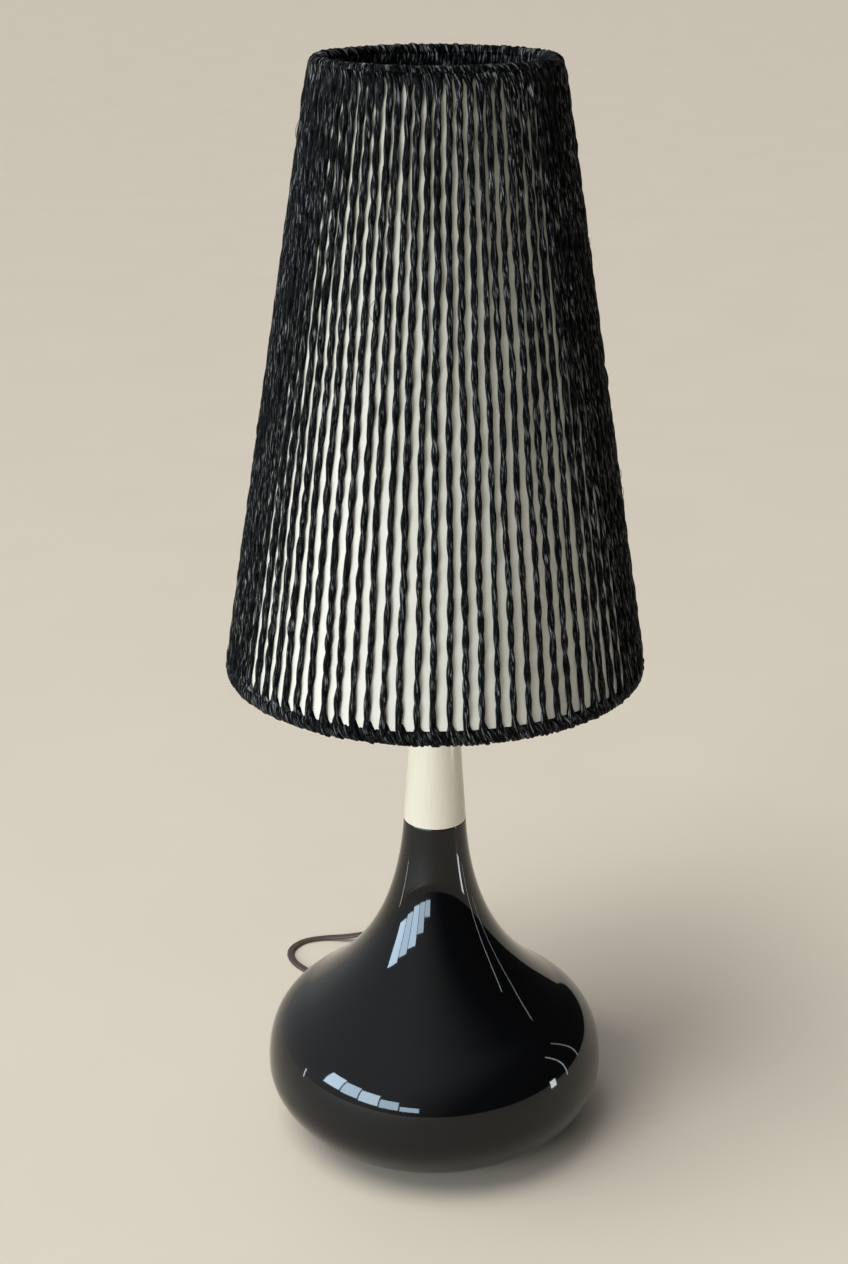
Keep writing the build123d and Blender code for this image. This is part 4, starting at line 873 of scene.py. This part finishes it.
# %% Measures of the plies
PLY_R = 1.3 * MM
PLY_OFFSET = 0.66 * MM
TWIST_PITCH = 34.0 * MM
PLY_SIDES = 8
FLAT_ON_BOTTOM, FLAT_ON_TOP = 0.78, 0.66  # thickness on the rings, as a share of that on the legs
WIDE_ON_BOTTOM, WIDE_ON_TOP = 0.95, 1.5
PRESSED_REACH = (7.0 * MM, 24.0 * MM)  # from the upper ring; half as far from the lower one
FLARE, FLARE_ABOVE, FLARE_REACH = 0.55, 1.5 * MM, 7.0 * MM
WANDER = 0.4 * MM
TWIST_SPREAD, TWIST_DRIFT = (0.9, 1.12), 0.7  # shares of the pitch, and radians
THICK_SPREAD, LUMPS = 0.04, 0.07  # shares of the thickness, from string to string and along a ply
LOBES = ((2, 0.09, 0.023), (3, 0.08, -0.017))  # number round the ply, share of its radius, metres per turn


def near(distance, reach):
    """Smooth step s * s * (3 - 2 * s), where s falls from one to zero over the reach."""
    share = np.clip(1 - distance / reach, 0, 1)
    return share * share * (3 - 2 * share)


def pressed(way, on_legs, on_bottom, on_top):
    """A share along each round: one on the legs and another on each ring. The smooth steps between them have
    a random length on each round."""
    starts = way[:, course_ends].T[:, :, None]
    reach = random.uniform(*PRESSED_REACH, (3, ROUNDS, 1))
    top = near(way - starts[0], reach[0]) + near(starts[3] - way, reach[1])
    bottom = near(np.maximum(starts[1] - way, way - starts[2]), reach[2] / 2)
    return on_legs + (on_top - on_legs) * np.minimum(top, 1) + (on_bottom - on_legs) * bottom


print("string", round(2 * (PLY_R + PLY_OFFSET) / MM, 1), "mm wide where its plies lie side by side")

# %% [markdown]
# A tube along a line needs to know at each point which way is across and which is outwards. Here across lies
# along the ring, square to the string, so both plies and all four stretches use the same two directions.

# %% Both plies of every round


def string_frame():
    """The way along every round, its wandering middle line, and the directions across it and outwards. The
    wandering is slow noise times the root of half a sine wave, so it's calm where the string meets a ring."""
    steps = np.linalg.norm(np.diff(course, axis=1), axis=-1)
    way = np.concatenate([np.zeros((ROUNDS, 1)), np.cumsum(steps, axis=1)], axis=1)
    ahead = unit(np.gradient(course, axis=1))
    around = unit(np.stack([-course[..., 1], course[..., 0], np.zeros(course.shape[:2])], axis=-1))
    across = unit(around - (around * ahead).sum(-1, keepdims=True) * ahead)
    calm = np.sin(np.pi * np.clip(way / way[:, course_ends[1], None], 0, 1)) ** 0.5
    wander = WANDER * calm * slow_noise(way, 4, shortest=0.05, longest=0.16)
    return way, course + across * wander[..., None], across, np.cross(across, ahead)


def make_plies():
    """Both plies of every round as grids (rounds, 2, points, sides, 3), with the way along each. A point lies
    at the ply's offset from the middle line, turned by the twist, plus its radius turned by its own angle."""
    way, middle, across, outward = string_frame()
    pitch = TWIST_PITCH * random.uniform(*TWIST_SPREAD, (ROUNDS, 1))
    start = random.uniform(0, 2 * math.pi, (ROUNDS, 1))
    drift = TWIST_DRIFT * slow_noise(way, 3, shortest=0.06, longest=0.2)
    twist = 2 * math.pi * way / pitch + start + drift
    thick = random.normal(1, THICK_SPREAD, (ROUNDS, 1))
    foot = np.abs(way - way[:, course_ends[1], None] + FLARE_ABOVE)
    wide = (pressed(way, 1.0, WIDE_ON_BOTTOM, WIDE_ON_TOP) + FLARE * near(foot, FLARE_REACH))[..., None]
    flat = pressed(way, 1.0, FLAT_ON_BOTTOM, FLAT_ON_TOP)[..., None]
    angle = full_turn(PLY_SIDES)
    grids, ways = [], []
    for phase in (twist, twist + math.pi):
        size = thick * (1 + LUMPS * slow_noise(way, 3, shortest=0.012, longest=0.05))
        starts = random.uniform(0, 2 * math.pi, (2, ROUNDS, 1, 1))
        radius = PLY_R * size[..., None] * sum(
            (share * np.sin(count * angle + 2 * math.pi * way[..., None] / length + begin)
             for (count, share, length), begin in zip(LOBES, starts)), 1
        )
        sideways = wide * ((PLY_OFFSET * size * np.cos(phase))[..., None] + radius * np.cos(angle))
        outwards = flat * ((PLY_OFFSET * size * np.sin(phase))[..., None] + radius * np.sin(angle))
        aside = across[:, :, None] * sideways[..., None]
        grids.append(middle[:, :, None] + aside + outward[:, :, None] * outwards[..., None])
        ways.append(way + random.uniform(0, 5, (ROUNDS, 1)))
    return np.stack(grids, axis=1), np.stack(ways, axis=1)


plies, ply_ways = make_plies()
print("plies", plies.shape)

# %% [markdown]
# The string is blackened paper yarn. The light that its fibres catch is painted into its colour as short pale
# streaks that run along it,
# more so in some places than in others: a painted highlight. Its noise is stretched along the UV map, so it
# follows the plies. The strings are made in six pieces, because one mesh of all of them would be too heavy.

# %% Surface and pieces of the string


def string_finish():
    """Blackened paper yarn: long fibre streaks in gloss and height, and painted highlights along them in the
    colour.
    """
    finish = Finish("black_string", Specular_IOR_Level=0.05)
    place = finish.place("UV")
    fibres = finish.noise(finish.scaled(place, 11.0, 115.0, 1.0), 1.0, 3.0, 0.6)
    crumple = finish.noise(finish.scaled(place, 3.0, 420.0, 1.0), 1.0, 2.0)
    patches = finish.noise(finish.place(), 45.0, 2.0)
    # Painted highlight: pale streaks along the fibres, stronger in some patches, stand for the sheen that
    # catches the light
    bright = finish.ramp(fibres, (0.54, 0.0), (0.66, 1.0)) * finish.ramp(patches, (0.3, 0.12), (0.7, 1.0))
    finish.bump(fibres + 0.35 * crumple, 0.0009, 1.0)
    # The streaks take a pale bluish grey, the colour of the painted highlight
    colour = finish.mix(bright, linear(3, 3, 3), linear(148, 154, 157))
    finish.feed(Base_Color=colour, Roughness=0.48 - 0.12 * bright)


def string_piece(name, rounds, stretch, *nodes):
    """The plies of some rounds over one stretch of the course, as one piece."""
    part = slice(course_ends[stretch], course_ends[stretch + 1] + 1)
    grid = plies[rounds][:, :, part].reshape(-1, part.stop - part.start, PLY_SIDES, 3)
    ways = ply_ways[rounds][:, :, part].reshape(-1, part.stop - part.start)
    return finished(skin(name, grid, lengths=ways), "shade", "black_string", *nodes)


string_finish()
ALL, BACK, FRONT = slice(None), slice(0, ROUNDS // 2), slice(ROUNDS // 2, ROUNDS)
string_pieces = [
    string_piece("outer_strings_back", BACK, 0, "outer_strings"),
    string_piece("outer_strings_front", FRONT, 0, "outer_strings"),
    string_piece("bottom_winding", ALL, 1, "bottom_ring_wrap"),
    string_piece("inner_strings_back", BACK, 2, "inner_strings"),
    string_piece("inner_strings_front", FRONT, 2, "inner_strings"),
    string_piece("top_winding", ALL, 3, "top_ring_wrap"),
]
print([(piece.name, len(piece.data.polygons)) for piece in string_pieces])

# %% [markdown]
# ## What lies under the turns
# Between the turns no wire shows, because the string is soft and its fibres fill the gaps. Two thin dark
# rings round the wires do the same for far fewer faces. The upper one has one rib for each string. The lower
# one has three, as three strands pass round the wire there, and it is drawn up behind each string, so that
# the gaps between the strings end in rounded slots.

# %% Rings of fibres under the turns
RIB = 0.25 * MM
RIB_LEAN = 0.8  # radians
WEB = 5.6 * MM


def fibre_ring(name, ring, radius, ribs, web, columns, sides):
    """Ring about a wire: its radius has a sine wave with that many crests round the lamp. Above the wire it
    is drawn up behind each string, by the web times the turn's sine squared, times (1 + cos) / 2 of the angle
    between two strings."""
    turn = full_turn(sides)[:, None]
    angle = full_turn(columns)
    drawn_up = np.maximum(np.sin(turn), 0) ** 2 * (1 + np.cos(ROUNDS * angle)) / 2
    size = radius + RIB * np.sin(ribs * angle + RIB_LEAN * np.sin(turn)) + web * drawn_up
    grid = round_the_axis(ring[0] + size * np.cos(turn), ring[1] + size * np.sin(turn), angle)
    return finished(skin(name, grid[None], closed_rows=True), "shade", "black_string")


top_middle = TOP_RING + 1.0 * MM * UP_SLANT  # a little above the wire
fibre_ring("bottom_fibres", BOTTOM_RING, 2.4 * MM, ribs=3 * ROUNDS, web=WEB, columns=1008, sides=28)
fibre_ring("top_fibres", top_middle, 2.8 * MM, ribs=ROUNDS, web=0.0, columns=504, sides=14)
print("rings of fibres made")

# %% [markdown]
# ## Loose fibres
# Here and there a fibre has come loose from the string and stands out as a small loop. Each is a thin tube
# along an arc from one place on a string to another a few millimetres further on.

# %% Loose fibres
FIBRES = 46
FIBRE_R = 0.13 * MM
LOOP_LENGTHS, LOOP_HEIGHTS, LOOP_BOWS = (5, 13), (0.8, 2.4), (-3.2, 3.2)  # millimetres
LOOP_ROOT = 1.0  # millimetres out from the middle of the string
LOOP_STARTS = (0.01, 0.95)  # shares of the slant without its margins
LOOP_MARGINS, LOOP_LOW_MARGIN = 20.0 * MM, 8.0 * MM  # both together, and the lower one


def fibre_grid(rows=10, sides=5):
    """Arcs on random strings: out from the string by half a sine wave, sideways by another."""
    share = np.linspace(0, 1, rows)[None, :]
    arc = np.sin(math.pi * share)
    angle = 2 * math.pi * random.integers(0, ROUNDS, FIBRES)[:, None] / ROUNDS
    length, start, high, bow = (
        random.uniform(*ends, (FIBRES, 1)) for ends in (LOOP_LENGTHS, LOOP_STARTS, LOOP_HEIGHTS, LOOP_BOWS)
    )
    along = start * (SLANT_LENGTH - LOOP_MARGINS) + length * MM * share + LOOP_LOW_MARGIN
    radius, height = on_slant(along, WRAP + (LOOP_ROOT + high * arc) * MM)
    middle = round_the_axis(radius, height, angle + bow * MM * arc / radius)
    ahead = unit(np.gradient(middle, axis=1))
    side = unit(np.cross(ahead, middle * (1, 1, 0)))
    above = np.cross(side, ahead)
    turn = full_turn(sides)[:, None]
    return middle[:, :, None] + FIBRE_R * (side[:, :, None] * np.cos(turn) - above[:, :, None] * np.sin(turn))


fibres = finished(skin("loose_fibres", fibre_grid()), "shade", "black_string")
print(len(fibres.data.polygons), "faces of loose fibres")

# %% [markdown]
# ## Lampholder and bulb
# Inside the shade stands a moulded lampholder with a coarse outside thread for the two shade rings. A thread
# could be a spiral modelled by hand. Here it is a wave in the radius, whose crest moves up one pitch with
# each turn. The bulb's cap has the same kind of thread, rounder and coarser.

# %% Threads on the holder and the bulb's cap
HOLDER_LOW, HOLDER_HIGH = (corner.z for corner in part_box("holder_body"))
HOLDER_SHOULDER = HOLDER_LOW + 6.1 * MM
HOLDER_R = 19.3 * MM
CAP_LOW, CAP_HIGH = (corner.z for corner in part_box("bulb_cap"))
CAP_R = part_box("bulb_cap")[1].x
CAP_EDGE = 1.0 * MM


def threaded(name, radius, low, high, pitch, depth, wall, rows_per_pitch, columns=96):
    """A wall whose outside follows a sine wave of height over pitch minus angle, fading at both ends."""
    rows = int((high - low) / pitch * rows_per_pitch)
    height = np.linspace(low, high, rows)[:, None]
    angle = full_turn(columns)
    fade = np.clip(np.minimum(height - low, high - height) / pitch, 0, 1)
    wave = 0.5 + 0.5 * np.sin(2 * math.pi * height / pitch - angle)
    outside = round_the_axis(radius - depth * (1 - wave * fade), height, angle)
    inside = round_the_axis(radius - depth - wall, np.array([[high], [low]]), angle)
    return skin(name, np.concatenate([outside, inside])[None], closed_rows=True, sharp=50)


holder_thread = threaded(
    "holder_thread", HOLDER_R, HOLDER_SHOULDER, HOLDER_HIGH,
    pitch=2.0 * MM, depth=0.5 * MM, wall=2.0 * MM, rows_per_pitch=8,
)
finished(holder_thread, "lamp", "dark_moulding", "holder_body")
softened("holder_cap", "lamp", "dark_moulding", 0.5 * MM)
softened("lower_shade_ring", "lamp", "dark_moulding", 0.35 * MM)
softened("upper_shade_ring", "clamp_ring", "dark_moulding", 0.35 * MM)
softened("fitter_ring", "shade", "shade_wire")
bulb_thread = threaded(
    "bulb_thread", CAP_R, CAP_LOW + CAP_EDGE, CAP_HIGH,
    pitch=3.6 * MM, depth=0.9 * MM, wall=0.4 * MM, rows_per_pitch=12,
)
finished(bulb_thread, "bulb", "nickel_plate", "bulb_cap")
print("threads on the holder and the cap")

# %% [markdown]
# The bulb is a frosted globe on a slender neck. Its profile is a straight piece inside the cap, a Bezier
# curve that swells to the globe, and an arc that stops just short of the crown, where a fan closes it.

# %% Bulb
# Lengths in millimetres
BULB_NECK_R = 12.1
BULB_NECK_INSIDE = 7.0
SWELL_STEP = (1.0, 16.0)
GLOBE_HANDLE = 22.0
CROWN_ARC = math.radians(88.5)


def bulb_profile(swell_steps=24, crown_steps=30):
    """The glass from inside the cap up a slender neck to a round globe, as radius and height."""
    low, high = (corner.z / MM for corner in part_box("bulb_glass"))
    globe_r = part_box("bulb_glass")[1].x / MM
    middle = high - globe_r
    neck = np.array([(BULB_NECK_R, low), (BULB_NECK_R, low + BULB_NECK_INSIDE)])
    widest = np.array((globe_r, middle))
    swell = bezier(neck[1], neck[1] + SWELL_STEP, widest - (0, GLOBE_HANDLE), widest, swell_steps)
    turn = np.linspace(0, CROWN_ARC, crown_steps)[1:, None]
    crown = np.concatenate([globe_r * np.cos(turn), middle + globe_r * np.sin(turn)], axis=1)
    return np.concatenate([neck[:1], swell, crown]) * MM


bulb_piece = turned("bulb_globe", bulb_profile(), columns=96)
finished(bulb_piece, "bulb", "frosted_glass", "bulb_glass")
print("bulb", len(bulb_piece.data.polygons), "faces")

# %% [markdown]
# ## The pieces that stay as the engineer drew them
# Washers, screws, contacts, wires and frame wires are right as they are. They only need their finish, so the
# material goes on the model's own object. The felt gets a nap: short noise in colour and height.

# %% Finishes for the model's own nodes


def felt_finish():
    """Dark green felt with a short nap."""
    finish = Finish("green_felt", Sheen_Weight=0.3, Sheen_Roughness=0.6)
    place = finish.place()
    nap = finish.noise(place, 1600.0, 4.0, 0.7)
    cloud = finish.noise(place, 70.0, 3.0)
    finish.bump(nap, 0.0004, 0.8)
    colour = finish.mix(0.5 * nap + 0.5 * cloud, linear(34, 44, 32), linear(66, 80, 60))
    finish.feed(Base_Color=colour, Roughness=0.86 + 0.1 * nap)


felt_finish()
for entry in frame["record"]["subparts"]:
    node = frame["nodes"][entry["node"]]
    node.data.materials.clear()
    node.data.materials.append(FINISHES[entry["material_slot"]])
shown = [name for name, node in frame["nodes"].items() if not node.hide_render]
print(len(shown), "nodes shown as they are")

# %% [markdown]
# ## Floor
# The floor is pale and plain, and reaches past the picture's upper edge. One large polygon is enough for it.

# %% Floor
FLOOR_R = 40.0
FLOOR_SIDES = 96


def floor_finish():
    """Pale matte board with a barely visible mottle."""
    finish = Finish("pale_floor")
    cloud = finish.noise(finish.place(), 6.0, 4.0)
    colour = finish.mix(cloud, linear(219, 209, 192), linear(224, 215, 199))
    finish.feed(Base_Color=colour, Roughness=0.75 + 0.1 * cloud)


floor_finish()
rim = round_the_axis(FLOOR_R, 0.0, full_turn(FLOOR_SIDES))
floor_data = bpy.data.meshes.new("floor")
floor_data.from_pydata(rim.tolist(), [], [range(FLOOR_SIDES)])
floor_data.materials.append(FINISHES["pale_floor"])
floor = bpy.data.objects.new("floor", floor_data)
bpy.context.scene.collection.objects.link(floor)
print("floor of", FLOOR_SIDES, "sides")

# %% [markdown]
# ## The room's own light
# The reflections in the photographed glaze tell where its light comes from. The left half of the room is
# pale, the right half dark, so the world grows darker from left to right.

# %% World
LEFT_LIGHT = 0.6
RIGHT_LIGHT = 0.03
BRIGHTEST = (-0.9, 0.05, 0.42)  # direction of the brightest part of the world
DARK_BELOW, BRIGHT_ABOVE = -0.35, 0.75  # dot products with it between which the light grows
SKY_COLOUR = (0.97, 0.985, 1.0)


def make_world():
    """A plain sky whose light falls off with the angle from its brightest direction, by a smooth ramp."""
    world = bpy.data.worlds.new("studio")
    world.use_nodes = True
    tree = world.node_tree
    tree.nodes.clear()
    kinds = ("ShaderNodeTexCoord", "ShaderNodeVectorMath", "ShaderNodeMapRange", "ShaderNodeBackground",
             "ShaderNodeOutputWorld")
    place, towards, level, light, output = (tree.nodes.new(kind) for kind in kinds)
    towards.operation = "DOT_PRODUCT"
    towards.inputs[1].default_value = BRIGHTEST
    level.interpolation_type = "SMOOTHSTEP"
    ends = {"From Min": DARK_BELOW, "From Max": BRIGHT_ABOVE, "To Min": RIGHT_LIGHT, "To Max": LEFT_LIGHT}
    for socket, value in ends.items():
        level.inputs[socket].default_value = value
    light.inputs["Color"].default_value = (*SKY_COLOUR, 1.0)
    tree.links.new(place.outputs["Generated"], towards.inputs[0])
    tree.links.new(towards.outputs["Value"], level.inputs["Value"])
    tree.links.new(level.outputs["Result"], light.inputs["Strength"])
    tree.links.new(light.outputs[0], output.inputs[0])
    bpy.context.scene.world = world


make_world()
print("world lit from the left")

# %% [markdown]
# ## Windows and lamps
# A row of windows stands at the left, and a few narrow bright things at the right. They are panes that only
# show in reflections. The light on the object comes from two wide lamps, which are left out of reflections.

# %% Panes and lamps
PANES_EYE = 0.06  # height from which the elevations of the panes count
WINDOW_FAR, WINDOW_COLOUR = 2.3, (0.62, 0.82, 1.0)
SIDE_FAR, SIDE_COLOUR = 0.75, (0.9, 0.95, 1.0)
# Azimuths and elevations of the panes' edges in degrees, azimuth 0 on the camera's side, and their light
WINDOW_PANES = (
    ((-77.5, -64.5), (9.0, 28.0), 22.0),
    ((-63.5, -51.0), (8.0, 26.0), 18.0),
    ((-50.0, -36.5), (6.5, 24.0), 20.0),
    ((-35.5, -23.0), (6.0, 19.0), 15.0),
    ((-22.0, -10.0), (5.5, 12.5), 14.0),
)
SIDE_PANES = (
    ((77.0, 82.0), (-4.4, 4.0), 14.0),
    ((92.5, 93.3), (-4.4, 33.0), 7.0),
    ((107.0, 107.8), (0.0, 34.0), 3.5),
    ((-90.5, -89.6), (-4.4, 6.0), 14.0),
)


def make_lamp(name, kind, azimuth, elevation, far, height=0.0, **values):
    """A lamp at an azimuth and elevation as seen from the lamp's axis at a height, turned towards it."""
    data = bpy.data.lights.new(name, kind)
    for key, value in values.items():
        setattr(data, key, value)
    turn, rise = math.radians(azimuth), math.radians(elevation)
    level = far * math.cos(rise)
    lamp = bpy.data.objects.new(name, data)
    lamp.location = (level * math.sin(turn), -level * math.cos(turn), height + far * math.sin(rise))
    lamp.rotation_euler = (math.radians(90 - elevation), 0, turn)
    lamp.visible_camera = False
    bpy.context.scene.collection.objects.link(lamp)
    return lamp


def make_pane(name, far, colour, azimuths, elevations, light):
    """An upright bright pane that only shows in reflections, between two azimuths and two elevations."""
    low, high = (far * math.tan(math.radians(value)) for value in elevations)
    low = max(low, -PANES_EYE)
    width, tall = 2 * far * math.tan(math.radians(azimuths[1] - azimuths[0]) / 2), high - low
    pane = make_lamp(
        name, "AREA", sum(azimuths) / 2, 0.0, far, PANES_EYE + (low + high) / 2,
        shape="RECTANGLE", size=width, size_y=tall, energy=light * math.pi * width * tall, color=colour,
    )
    pane.visible_diffuse = False


for number, pane in enumerate(WINDOW_PANES):
    make_pane(f"window_{number}", WINDOW_FAR, WINDOW_COLOUR, *pane)
for number, pane in enumerate(SIDE_PANES):
    make_pane(f"side_{number}", SIDE_FAR, SIDE_COLOUR, *pane)
window_light = make_lamp(
    "window_light", "AREA", azimuth=-40.0, elevation=13.0, far=3.4, height=0.25,
    shape="RECTANGLE", size=1.6, size_y=1.0, energy=56.0, color=(0.93, 0.97, 1.0),
)
soft_sun = make_lamp(
    "soft_sun", "SUN", azimuth=-55.0, elevation=64.0, far=3.0,
    energy=1.73, angle=math.radians(40), color=(1.0, 0.985, 0.96),
)
for lamp in (window_light, soft_sun):
    lamp.visible_glossy = False
bpy.context.scene.view_settings.view_transform = "Standard"
print(len(WINDOW_PANES) + len(SIDE_PANES), "panes and 2 lamps")
